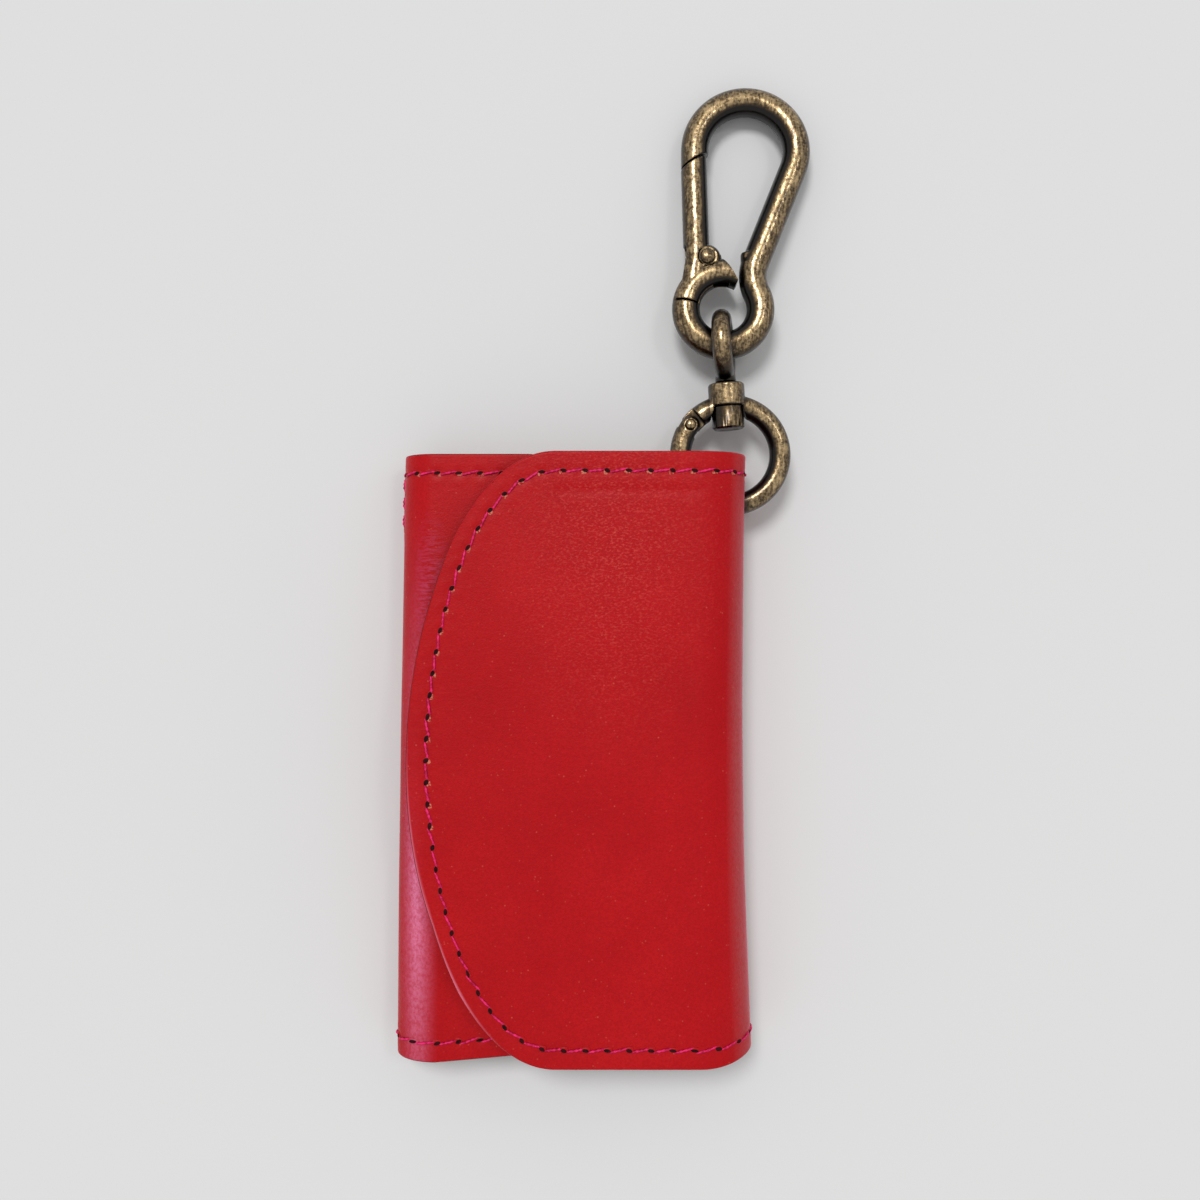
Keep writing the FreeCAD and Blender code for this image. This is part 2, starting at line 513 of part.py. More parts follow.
def gate_ring():
    pivot_x, pivot_y = "(ring_radius * cos(gate_pivot))", "(ring_radius * sin(gate_pivot))"
    scarf = ("(ring_radius * cos(gate_end))", "(ring_radius * sin(gate_end))", "(360 - gate_scarf)")
    reach = "(ring_wire * 2)"
    collar = primitive("Cylinder", "ring_collar", ("0", COLLAR_BOTTOM, "0"), (-1, 0, 0), "90",
                       Radius="collar_width / 2", Height="collar_height")
    rim = doc.addObject("Part::Chamfer", "ring_collar_bevel")
    rim.Base = collar
    doc.recompute()
    round_edges = [index for index, edge in enumerate(collar.Shape.Edges, start=1) if edge.Closed]
    rim.Edges = [(index, number("button_bevel"), number("button_bevel")) for index in round_edges]
    hoop = ring_arc("ring_hoop", "(gate_end - scarf_reach)", "(gate_root + 360)")
    away = half_space("ring_scarf_body", *scarf, "-gate_gap / 2", reach)
    bore = primitive("Cylinder", "ring_bore", ORIGIN, (-1, 0, 0), "90", Radius="shank / 2 + shank_play",
                     Height=f"{COLLAR_TOP} + collar_gap")
    seat = primitive("Cylinder", "ring_button_seat", ORIGIN, (-1, 0, 0), "90",
                     Radius="button_width / 2 + button_room", Height=COLLAR_BOTTOM)
    hoop_cut = cut("ring_hoop_cut", hoop, away, seat)
    leaf = common("ring_tongue_leaf", ring_arc("ring_tongue_arc", "ring_tongue_root", "gate_pivot"),
                  slab("ring_tongue_slab", pivot_x, pivot_y, reach, "ring_tongue"))
    eye = primitive("Cylinder", "ring_tongue_eye", (pivot_x, pivot_y, "-ring_tongue / 2"), Radius="ring_eye",
                    Height="ring_tongue")
    pin_hole = primitive("Cylinder", "ring_pin_hole", (pivot_x, pivot_y, "-ring_wire"), Radius="ring_pin / 2",
                         Height="2 * ring_wire")
    body = cut("ring_whole", fuse("ring_solid", hoop_cut, rim, leaf, eye), bore, pin_hole)
    node("ring_body", in_ring_frame(body))

    dome = primitive("Sphere", "ring_gate_dome", (pivot_x, pivot_y, "0"), Radius="ring_wire / 2")
    bow = ring_arc("ring_gate_bow", "gate_pivot", "(gate_end + scarf_reach)")
    past = half_space("ring_scarf_gate", scarf[0], scarf[1], f"({scarf[2]} - 180)", "-gate_gap / 2", reach)
    slot = slab("ring_gate_slot", pivot_x, pivot_y, "ring_slot_reach", "ring_tongue + 2 * gate_play")
    heads = recesses("ring_pin_recess", pivot_x, pivot_y, "ring_pin_head / 2 + gate_play",
                     "ring_wire / 2 - ring_pin_head_depth", "ring_wire")
    spring_x, spring_y = "(ring_radius * cos(ring_spring_angle))", "(ring_radius * sin(ring_spring_angle))"
    pocket = strip_at("ring_spring_pocket", spring_x, spring_y, "ring_spring_angle",
                      "ring_spring_length + 2 * spring_room", "spring_strip + 2 * spring_room",
                      "ring_tongue + 2 * gate_play")
    gate_hole = primitive("Cylinder", "ring_gate_pin_hole", (pivot_x, pivot_y, "-ring_wire"),
                          Radius="ring_pin / 2 + neck_play", Height="2 * ring_wire")
    gate = cut("ring_gate_whole", fuse("ring_gate_solid", dome, bow), past, slot, pocket, gate_hole, *heads)
    node("ring_gate", in_ring_frame(gate))
    spring = leaf_spring("ring_spring", spring_x, spring_y, "ring_spring_angle", "ring_spring_length",
                         "ring_tongue")
    node("ring_gate_spring", in_ring_frame(spring))
    ring_pin = pin("ring_pin_turned", "ring_pin", "ring_pin_head", "ring_pin_head_depth", "ring_wire")
    pin_x = f"({RING_X} + ring_radius * cos(gate_pivot + ring_lean))"
    pin_y = f"({RING_Y} + ring_radius * sin(gate_pivot + ring_lean))"
    node("ring_gate_pin", place(ring_pin, (pin_x, pin_y, RING_Z)))


def strip_at(name, x, y, angle, length, thick, height):
    """A flat strip centred on a point, its length square to the line at an angle."""
    corner_x = f"({x} - ({thick}) / 2 * cos({angle}) + ({length}) / 2 * sin({angle}))"
    corner_y = f"({y} - ({thick}) / 2 * sin({angle}) - ({length}) / 2 * cos({angle}))"
    return primitive("Box", name, (corner_x, corner_y, f"-({height}) / 2"), Z_AXIS, angle,
                     Length=thick, Width=length, Height=height)


def leaf_spring(name, x, y, angle, length, height):
    """A flat strip with its far end rolled."""
    strip = strip_at(f"{name}_strip", x, y, angle, length, "spring_strip", height)
    reach = f"(({length}) / 2 - spring_roll)"
    end = (f"({x} - {reach} * sin({angle}))", f"({y} + {reach} * cos({angle}))", f"-({height}) / 2")
    roll = primitive("Cylinder", f"{name}_roll", end, Radius="spring_roll", Height=height)
    return fuse(name, strip, roll)


gate_ring()


# swivel: an eye on a shank through the collar, with a button pressed on below
def swivel():
    button_top = f"({COLLAR_BOTTOM} - button_gap)"
    loop = primitive("Torus", "eye_loop", ("0", EYE_REACH, "0"), Y_AXIS, "90 - eye_turn",
                     Radius1="eye_radius", Radius2="eye_wire / 2")
    foot = f"({button_top} - button_height)"
    stem = primitive("Cylinder", "eye_shank", ("0", foot, "0"), (-1, 0, 0), "90", Radius="shank / 2",
                     Height=f"{EYE_REACH} - eye_radius - {foot}")
    neck = primitive("Cone", "eye_neck", ("0", f"{COLLAR_TOP} + collar_gap", "0"), (-1, 0, 0), "90",
                     Radius1="shank / 2 + collar_gap", Radius2="eye_wire / 2", Height="eye_wire / 2")
    node("swivel_eye", in_ring_frame(fuse("eye_whole", loop, stem, neck)))
    rim, hole = "button_width / 2", "shank / 2"
    button = turned("button", [(hole, "-button_height"), (f"{rim} - button_bevel", "-button_height"),
                               (rim, "-button_height + button_bevel"), (rim, "0"), (hole, "0")])
    button_x = f"({RING_X} - {button_top} * sin(ring_lean))"
    button_y = f"({RING_Y} + {button_top} * cos(ring_lean))"
    lean = FreeCAD.Rotation(FreeCAD.Vector(*Z_AXIS), number("ring_lean"))
    place(button, (button_x, button_y, RING_Z))
    button.Placement.Rotation = lean.multiply(FreeCAD.Rotation(FreeCAD.Vector(*X_AXIS), -90))
    node("swivel_button", button)


swivel()


# snap hook, in its own frame: centre of the small ring at the origin, upper loop towards +Y
def hook_path():
    """Centre line: small ring, waist, straight side, upper loop, straight nose."""
    sketch = doc.addObject("Sketcher::SketchObject", "hook_path")
    small, waist, upper = number("hook_ring_radius"), number("hook_waist_radius"), number("hook_top_radius")
    lean = math.radians(number("hook_lean"))
    top = FreeCAD.Vector(number("hook_top_x"), number("hook_top_y"), 0)
    across = FreeCAD.Vector(math.cos(lean), -math.sin(lean), 0)
    along = FreeCAD.Vector(math.sin(lean), math.cos(lean), 0)
    offset = across.dot(top) + upper
    waist_centre = across * (offset + waist) + along * math.sqrt((small + waist) ** 2 - (offset + waist) ** 2)
    meet = math.atan2(waist_centre.y, waist_centre.x)
    normal = FreeCAD.Vector(*Z_AXIS)
    start = math.radians(number("hook_split"))
    for centre, radius, low, high in ((FreeCAD.Vector(), small, start, meet + 2 * math.pi),
                                      (waist_centre, waist, math.pi - lean, math.pi + meet)):
        sketch.addGeometry(Part.ArcOfCircle(Part.Circle(centre, normal, radius), low, high), False)
    sketch.addGeometry(Part.LineSegment(waist_centre - across * waist, top + across * upper), False)
    sketch.addGeometry(Part.ArcOfCircle(Part.Circle(top, normal, upper), -lean, math.pi), False)
    nose = top - FreeCAD.Vector(upper, 0, 0)
    nose_tip = nose - FreeCAD.Vector(0, number("nose_drop"), 0)
    sketch.addGeometry(Part.LineSegment(nose, nose_tip), False)
    for held in (("Coincident", 0, 3, -1, 1), ("Tangent", 0, 2, 1, 2), ("Tangent", 1, 1, 2, 1),
                 ("Tangent", 2, 2, 3, 1), ("Tangent", 3, 2, 4, 1), ("Vertical", 4)):
        sketch.addConstraint(Sketcher.Constraint(*held))
    start_y = "hook_ring_radius * sin(hook_split)"
    for held, text in ((("Radius", 0), "hook_ring_radius"), (("Radius", 1), "hook_waist_radius"),
                       (("Radius", 3), "hook_top_radius"), (("DistanceX", -1, 1, 3, 3), "hook_top_x"),
                       (("DistanceY", -1, 1, 3, 3), "hook_top_y"), (("DistanceY", -1, 1, 0, 1), start_y),
                       (("DistanceY", 4, 2, 4, 1), "nose_drop")):
        index = sketch.addConstraint(Sketcher.Constraint(*held, number(text)))
        sketch.setExpression(f"Constraints[{index}]", formula(text))
    angle = sketch.addConstraint(Sketcher.Constraint("Angle", 2, math.pi / 2 - lean))
    sketch.setExpression(f"Constraints[{angle}]", formula("90 - hook_lean"))
    doc.recompute()
    return sketch


def limb(name, start, end, start_radius, end_radius):
    """A round limb from one point of the hook to another, with its two radii."""
    run, rise = f"({end[0]} - {start[0]})", f"({end[1]} - {start[1]})"
    made = dict(Height=f"sqrt({run} ^ 2 + {rise} ^ 2)")
    if start_radius == end_radius:
        piece = primitive("Cylinder", name, (*start, "0"), Radius=start_radius, **made)
    else:
        piece = primitive("Cone", name, (*start, "0"), Radius1=start_radius, Radius2=end_radius, **made)
    heading = FreeCAD.Vector(number(run), number(rise), 0)
    piece.Placement.Rotation = FreeCAD.Rotation(FreeCAD.Vector(*Z_AXIS), heading)
    return piece


def snap_hook():
    path = hook_path()
    sketch_edges = len(path.Shape.Edges)
    split_end = ("hook_ring_radius * cos(hook_split)", "hook_ring_radius * sin(hook_split)", "0")
    section = primitive("Circle", "hook_section", split_end, Radius="hook_wire / 2")
    stand = FreeCAD.Rotation(FreeCAD.Vector(*X_AXIS), -90)
    turn = FreeCAD.Rotation(FreeCAD.Vector(*Z_AXIS), number("hook_split"))
    section.Placement.Rotation = turn.multiply(stand)
    bow = doc.addObject("Part::Sweep", "hook_bow")
    bow.Sections = [section]
    bow.Spine = (path, [f"Edge{index}" for index in range(1, sketch_edges + 1)])
    bow.Solid = True
    reach = "(hook_wire * 2)"
    split = ("nose_x", "nose_y")
    below = half_space("nose_cut", *split, "(nose_slant + 180)", "-gate_gap / 2", reach)
    arc = dict(Radius1="hook_ring_radius", Radius2="hook_wire / 2")
    leaf = common("hook_tongue_leaf",
                  primitive("Torus", "hook_tongue_arc", ORIGIN, Z_AXIS, "tongue_start",
                            Angle3="hook_split - tongue_start", **arc),
                  slab("hook_tongue_slab", "0", "0", reach, "tongue"))
    eye = primitive("Cylinder", "hook_tongue_eye", ("rivet_x", "rivet_y", "-tongue / 2"), Radius="tongue_eye",
                    Height="tongue")
    web_corner = ("rivet_x - tongue_eye", "hook_ring_radius - hook_wire / 2", "-tongue / 2")
    web = primitive("Box", "hook_tongue_web", web_corner, Length="tongue_web",
                    Width="rivet_y - hook_ring_radius + hook_wire / 2", Height="tongue")
    pin_hole = primitive("Cylinder", "hook_pin_hole", ("rivet_x", "rivet_y", "-hook_wire"),
                         Radius="hook_pin / 2", Height="2 * hook_wire")
    shoulder = primitive("Cylinder", "hook_shoulder", ("shoulder_x", "shoulder_y", "0"), (-1, 0, 0), "90",
                         Radius="shoulder_radius", Height="shoulder_length")
    solid = fuse("hook_solid", cut("hook_bow_cut", bow, below), leaf, eye, web, shoulder)
    node("hook_body", in_hook_frame(cut("hook_whole", solid, pin_hole)))

    arm = primitive("Cylinder", "gate_arm", ("arm_foot_x", "rivet_y", "0"), Radius="arm_width / 2",
                    Height="(nose_y - rivet_y) / cos(arm_lean) + arm_width")
    arm.Placement.Rotation = FreeCAD.Rotation(FreeCAD.Vector(*Z_AXIS), number("arm_lean")).multiply(stand)
    above = half_space("arm_cut", *split, "nose_slant", "-gate_gap / 2", reach)
    split_gap = "(gate_gap / hook_ring_radius * 180 / pi)"
    bend = primitive("Torus", "gate_bend", ORIGIN, Z_AXIS, "beak_start",
                     Angle3=f"hook_split - beak_start - {split_gap}", **arc)
    beak = cut("gate_beak", bend, half_space("gate_beak_cut", "beak_x", "beak_y", "beak_slope", "0", reach))
    foot = primitive("Sphere", "gate_arm_foot", ("arm_foot_x", "rivet_y", "0"), Radius="arm_width / 2")
    joint = primitive("Sphere", "gate_knuckle", ("rivet_x", "rivet_y", "0"), Radius="knuckle / 2")
    neck_end = ("(hook_ring_radius * cos(neck_angle))", "(hook_ring_radius * sin(neck_angle))")
    neck = limb("gate_neck", ("arm_foot_x", "rivet_y"), neck_end, "arm_width / 2", "arm_width / 2")
    horn = limb("gate_horn", ("rivet_x", "rivet_y"), ("horn_x", "horn_y"), "horn_root / 2", "horn_tip / 2")
    tip = primitive("Sphere", "gate_horn_tip", ("horn_x", "horn_y", "0"), Radius="horn_tip / 2")
    slot_side = "(tongue_eye + gate_gap)"
    slot_corner = (f"rivet_x + {slot_side} - {reach}", f"rivet_y + {slot_side} - 2 * {reach}",
                   "-tongue / 2 - gate_play")
    slot = primitive("Box", "gate_slot", slot_corner, Length=reach, Width=f"2 * {reach}",
                     Height="tongue + 2 * gate_play")
    relief_corner = ("rivet_x", f"rivet_y - beak_slot_drop - {reach}", "-tongue / 2 - gate_play")
    relief = primitive("Box", "gate_slot_relief", relief_corner, Length="beak_slot", Width=reach,
                       Height="tongue + 2 * gate_play")
    heads = recesses("gate_pin_recess", "rivet_x", "rivet_y", "hook_pin_head / 2 + pin_recess_room",
                     "knuckle / 2 - pin_recess", "hook_wire")
    rise = f"({slot_side} + spring_length / 2)"
    spring_x, spring_y = f"(arm_foot_x - {rise} * sin(arm_lean))", f"(rivet_y + {rise})"
    pocket = strip_at("gate_spring_pocket", spring_x, spring_y, "arm_lean", "spring_length + 4 * spring_room",
                      "spring_strip + 2 * spring_room", "tongue + 2 * gate_play")
    gate_hole = primitive("Cylinder", "gate_pin_hole", ("rivet_x", "rivet_y", "-hook_wire"),
                          Radius="hook_pin / 2 + neck_play", Height="2 * hook_wire")
    lever = fuse("gate_solid", cut("gate_arm_cut", arm, above), beak, foot, neck, joint, horn, tip)
    node("hook_gate", in_hook_frame(cut("gate_whole", lever, slot, relief, pocket, gate_hole, *heads)))
    spring = leaf_spring("gate_spring", spring_x, spring_y, "arm_lean", "spring_length", "tongue")
    node("hook_gate_spring", in_hook_frame(spring))
    hook_pin = pin("hook_pin_turned", "hook_pin", "hook_pin_head", "hook_pin_head_depth", "knuckle")
    pin_y = f"({HOOK_Y} + rivet_y * cos({HOOK_TILT}))"
    pin_z = f"({HOOK_Z} - rivet_y * sin({HOOK_TILT}))"
    node("hook_gate_pin", place(hook_pin, (f"{HOOK_X} + rivet_x", pin_y, pin_z), (-1, 0, 0), HOOK_TILT))


snap_hook()

doc.recompute()
failed = [thing.Name for thing in doc.Objects if {"Invalid", "Error"} & set(thing.State)]
failed += [part.Label for part in nodes if part.Shape.isNull() or not part.Shape.isValid()]
if failed:
    raise SystemExit(f"failed: {failed}")
os.makedirs("parts", exist_ok=True)
for part in nodes:
    part.Shape.exportStep(os.path.join("parts", f"{part.Label}.step"))
    print(part.Label, len(part.Shape.Solids), "solid", round(part.Shape.Volume, 1), "mm3")
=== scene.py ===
"""Red leather key case with a gate ring, a swivel and a snap hook in antique brass.

The leather, its lining, the stitching and the smooth metal are made here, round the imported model.
Metres, in the model's own frame: +X to the right, +Y towards the hook, +Z up.
"""
import json
import math

import bpy
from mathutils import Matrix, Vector, noise
from mathutils.kdtree import KDTree


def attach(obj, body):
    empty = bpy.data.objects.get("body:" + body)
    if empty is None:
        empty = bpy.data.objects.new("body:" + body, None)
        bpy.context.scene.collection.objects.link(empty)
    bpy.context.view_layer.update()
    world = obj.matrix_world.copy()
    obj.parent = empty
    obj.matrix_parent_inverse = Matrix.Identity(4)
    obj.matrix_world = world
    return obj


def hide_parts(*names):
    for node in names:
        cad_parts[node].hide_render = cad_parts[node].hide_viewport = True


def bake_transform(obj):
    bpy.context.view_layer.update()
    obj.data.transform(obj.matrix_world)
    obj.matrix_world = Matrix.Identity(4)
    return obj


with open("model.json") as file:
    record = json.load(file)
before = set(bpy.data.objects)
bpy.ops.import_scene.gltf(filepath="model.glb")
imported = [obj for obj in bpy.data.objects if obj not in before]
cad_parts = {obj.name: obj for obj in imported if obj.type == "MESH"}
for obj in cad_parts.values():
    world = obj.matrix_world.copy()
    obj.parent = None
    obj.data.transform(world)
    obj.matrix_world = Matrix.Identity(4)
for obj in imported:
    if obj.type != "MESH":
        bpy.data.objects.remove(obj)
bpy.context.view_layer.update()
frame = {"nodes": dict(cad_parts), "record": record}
MM = 0.001
X_AXIS, Z_AXIS = 0, 2

# leather case: its height, its walls, the fold lines with the folds' radii, the curve and the free edge
HALF_HEIGHT = 53.1 * MM
LEATHER, LINING = 1.6 * MM, 1.0 * MM
STACK = LEATHER + LINING
RIGHT_X, RIGHT_FOLD = 22.0 * MM, 8.0 * MM
LEFT_X, LEFT_FOLD = -24.2 * MM, 5.8 * MM
CURVE_X, CURVE_REACH = -3.0 * MM, 25.0 * MM
LEFT_EDGE_X, LEFT_CORNER = -2.0 * MM, 6.0 * MM

# how finely the sheets are divided: rows down, steps round a fold, columns of a flap, runs of an arc
ROWS, FOLD_STEPS, FLAT_STEPS, ARC_RUNS = 180, 34, 64, 60
COLUMN_STEP = 1.0 * MM

# where a flap's top edge ends and its side begins, in degrees round the curve or the corner
CURVE_SPLIT, CORNER_SPLIT = 42, 45

# edges: what counts as one place, as cut, smooth or upright, and where the flaps join the back
TOUCH = 0.01 * MM
CUT_ANGLE, LEATHER_SMOOTH, METAL_SMOOTH = math.radians(60), math.radians(50), math.radians(35)
SEAMS, SEAM_HEIGHT = (LEFT_X, RIGHT_X), 4.0 * MM
UPRIGHT_RISE, UPRIGHT_DRIFT = 0.7, 0.1
EDGE_ROUND, EDGE_SHARE, EDGE_STEPS = 0.38 * MM, 0.3, 3
STRAY_REACH = 1.25 * EDGE_ROUND

# punched holes, with radius, depth and middle: the ring's, the snap's recess and the hole in the lining
RING_HOLE = 2.5 * MM, 8.0 * MM, Vector((28.55, 44.52, 6.6)) * MM
SNAP_RECESS = 4.5 * MM, 0.8 * MM, Vector((-15.5, 0.0, 14.4)) * MM
SNAP_HOLE = 3.1 * MM, 1.6 * MM, Vector((-15.5, 0.0, 13.9)) * MM
PUNCH_SIDES = 48

# how the case has spread with use, at the top, middle and bottom of each side
RIGHT_SPREAD = (0.5 * MM, 0.1 * MM, 1.5 * MM)
LEFT_SPREAD = (0.1 * MM, 1.0 * MM, 1.6 * MM)

# how far the lower ends have slipped up: the left flap at its fold and its free edge, the right fold
LEFT_SLIP = (-0.4 * MM, 1.6 * MM)
RIGHT_SLIP = 1.7 * MM

# line that the strip inside has pressed into the front flap
PRESS_LEFT, PRESS_Y = -2.5 * MM, 46.2 * MM
PRESS_WIDTH, PRESS_DEPTH = 0.75 * MM, 0.14 * MM

# finely wrinkled spot of the left flap, beside the front flap, with pink highlights painted on its wrinkles
WRINKLE_SPOT = Vector((-25.0, 29.0, 11.6)) * MM
WRINKLE_SIZE = Vector((4.0, 15.0, 2.0)) * MM

# where sparkling highlights are painted on the front flap's grain
PAINTED_SHINE_SPOT = Vector((7.0, 38.0, 16.0)) * MM
PAINTED_SHINE_SIZE = Vector((22.0, 40.0, 30.0)) * MM

# where pink highlights are painted on the folds, with middle and reach: along the right one, and low on the
# left one
RIGHT_FOLD_HIGHLIGHT = Vector((29.5, 0.0, 9.5)) * MM, Vector((4.2, 85.0, 8.0)) * MM
LEFT_FOLD_HIGHLIGHT = Vector((-27.4, -22.0, 10.6)) * MM, Vector((4.4, 70.0, 6.5)) * MM

# rim of the front flap's curve, with a pale highlight painted on it: the heights that the highlight fades in
# over, and out over
PAINTED_RIM_HIGHLIGHT = "painted_rim_highlight"
RIM_STEPS, RIM_WIDTH = 2000, 0.6 * MM
RIM_HIGHLIGHT_START, RIM_HIGHLIGHT_END = (10.0 * MM, -12.0 * MM), (-51.5 * MM, -40.0 * MM)

# stitch rows: how far in from the edges, their pitch, and the short row down the left fold
STITCH_INSET, END_INSET = 3.0 * MM, 3.4 * MM
STITCH_PITCH = 3.75 * MM
ROW_CURVE_RUNS, ROW_CORNER_RUNS = 120, 12
SIDE_TOP, SIDE_PITCH, SIDE_STITCHES = 49.7 * MM, 3.2 * MM, 3

# thread: half its width and how far a stitch slants, then its shape, with heights in shares of that half
THREAD, SIDE_THREAD = 0.23 * MM, 0.34 * MM
STITCH_SLANT = 0.34 * MM
STITCH_SIDES, STITCH_SECTIONS = 8, 18
STITCH_TWIST = 4.5 * math.pi
PLY_FLATNESS, STITCH_HEIGHT = 0.6, 0.9
STITCH_ARCH, STITCH_SINK, STITCH_END = 1.5, 1.1, 0.55

# needle holes: half their size, their turn and lift, then their shape, with lengths in shares of that half
HOLE_LENGTH, HOLE_WIDTH = 0.62 * MM, 0.42 * MM
HOLE_TURN, HOLE_LIFT = 0.6, 0.03 * MM
HOLE_SIDES, HOLE_LIP, LIP_START = 8, 1.55, 0.8
HOLE_BLUNT, HOLE_POINT, HOLE_NARROW = 0.75, 0.35, 0.8
HOLE_RIM, HOLE_DIP, LIP_DROP = 0.16, 0.4, -0.2

# puckers: the tongue of leather beside each hole of the upper rows, painted pale as a highlight, and how wide
# it fans out
PUCKER_HEADING = -math.pi / 4 - HOLE_TURN
PUCKER_LENGTH, PUCKER_DROP = 1.5, -0.06
PUCKER_FAN, TONGUE_FAN = 0.9, 0.6
PUCKER_END = -12.0 * MM

# how uneven the stitches are: over which length, and by which share
UNEVEN_RUN = 1.7 * MM
SLANT_CHANGE, HOLE_CHANGE = 0.9, 0.35

# how the leather lies round the stitches: depth and reach of its dips and swells, and its own slow waves
HOLE_SINK, THREAD_SINK = (0.16 * MM, 0.7 * MM), (0.1 * MM, 1.3 * MM)
HOLE_SWELL, SWELL_RING = (0.05 * MM, 0.7 * MM), 1.5 * MM
WAVE_DEPTH, WAVES_PER_METRE = 0.12 * MM, 45.0

# leather strip under the key bar
STRIP_LOW, STRIP_HIGH = Vector((-25.0, 39.0, 2.6)) * MM, Vector((17.0, 50.5, 3.4)) * MM
STRIP_CORNER, STRIP_CORNER_STEPS = 1.6 * MM, 8
STRIP_EDGE, STRIP_SEAM = 0.2 * MM, 1.0 * MM

# hardware: middles of the hook's loops and of the ring, the hook's waist, and the collar with its button
HOOK_LOOP = Vector((31.1, 108.9, 3.4)) * MM, Vector((27.8, 95.5, 4.6)) * MM
HOOK_EYE = Vector((26.8, 79.6, 6.0)) * MM
HOOK_WAIST_Y = 88.0 * MM
RING_MIDDLE = Vector((28.0, 53.4, 6.6)) * MM
COLLAR, COLLAR_RADIUS = Vector((27.2, 64.3, 6.6)) * MM, 2.95 * MM
BUTTON_RADIUS = 2.4 * MM

# castings: the grid that softens each one's edges, and how much it is smoothed after
CAST_GRIDS = {"hook_body": 0.15 * MM, "hook_gate": 0.11 * MM, "ring_body": 0.12 * MM,
              "ring_gate": 0.1 * MM, "swivel_eye": 0.11 * MM}
CAST_SMOOTHING, CAST_ROUNDS = 0.5, 5
MERGE_REACH = 0.002 * MM

# shade painted on the brass: how dark it is and how far it reaches beside the collar, up the eye and on the
# button
PAINTED_SHADE = "painted_shade"
COLLAR_SHADE, COLLAR_SHADE_REACH = 0.5, 5.6 * MM
EYE_SHADE, EYE_FOOT_Y, EYE_UNSHADED_Y = 0.5, 67.8 * MM, 73.0 * MM
BUTTON_SHADE, BUTTON_SHADE_RISE = 0.3, 0.25

# how wide a nook is that is darkened: painted shade on the leather, patina on the brass
LEATHER_SHADE_REACH, BRASS_NOOK = 3.5 * MM, 4.0 * MM

# floor and soft light
FLOOR_Z, FLOOR_SIZE, FLOOR_TONE = -0.35 * MM, 4.0, 0.716
SOFT_LIGHT, BACKDROP_TONE = 0.55, 0.72

# lamps: strength, width in degrees, and the way the light goes
KEY_LIGHT = 1.5, 18, Vector((0.17, -0.42, -0.89))
EDGE_LIGHT = 0.2, 9, Vector((-0.41, -0.30, -0.86))

# camera straight above the case, and the width of the picture at the front flap's face
CAMERA_X, CAMERA_Y, CAMERA_HEIGHT = 4.7 * MM, 27.5 * MM, 225.0 * MM
FRAME_AT_FLAP = 205.5 * MM
NEAREST_SEEN = 10.0 * MM


# selecting and editing
def activate(piece):
    """Select one piece alone, in object mode."""
    if bpy.context.mode != "OBJECT":
        bpy.ops.object.mode_set(mode="OBJECT")
    bpy.ops.object.select_all(action="DESELECT")
    piece.select_set(True)
    bpy.context.view_layer.objects.active = piece
    return piece


def added(name):
    """The piece that an operator has just added, named and alone."""
    piece = bpy.context.view_layer.objects.active
    piece.name = name
    piece.data.name = name
    return activate(piece)


def edit(mode="VERT"):
    """Get ready to pick vertices or edges, with none of them selected."""
    bpy.ops.object.mode_set(mode="EDIT")
    bpy.ops.mesh.select_mode(type=mode)
    bpy.ops.mesh.select_all(action="DESELECT")
    bpy.ops.object.mode_set(mode="OBJECT")


def pick(parts, wanted):
    """Select the vertices, edges or faces that a test wants, then go to edit mode."""
    for part in parts:
        part.select = wanted(part)
    bpy.ops.object.mode_set(mode="EDIT")


def edge_span(piece, edge, axis):
    """How far apart the two ends of an edge are along an axis."""
    first, second = (piece.data.vertices[index].co for index in edge.vertices)
    return abs(first[axis] - second[axis])


def modify(piece, kind, **settings):
    """Add a modifier and apply it."""
    activate(piece)
    modifier = piece.modifiers.new(kind.lower(), kind)
    for key, value in settings.items():
        setattr(modifier, key, value)
    bpy.ops.object.modifier_apply(modifier=modifier.name)
    return piece


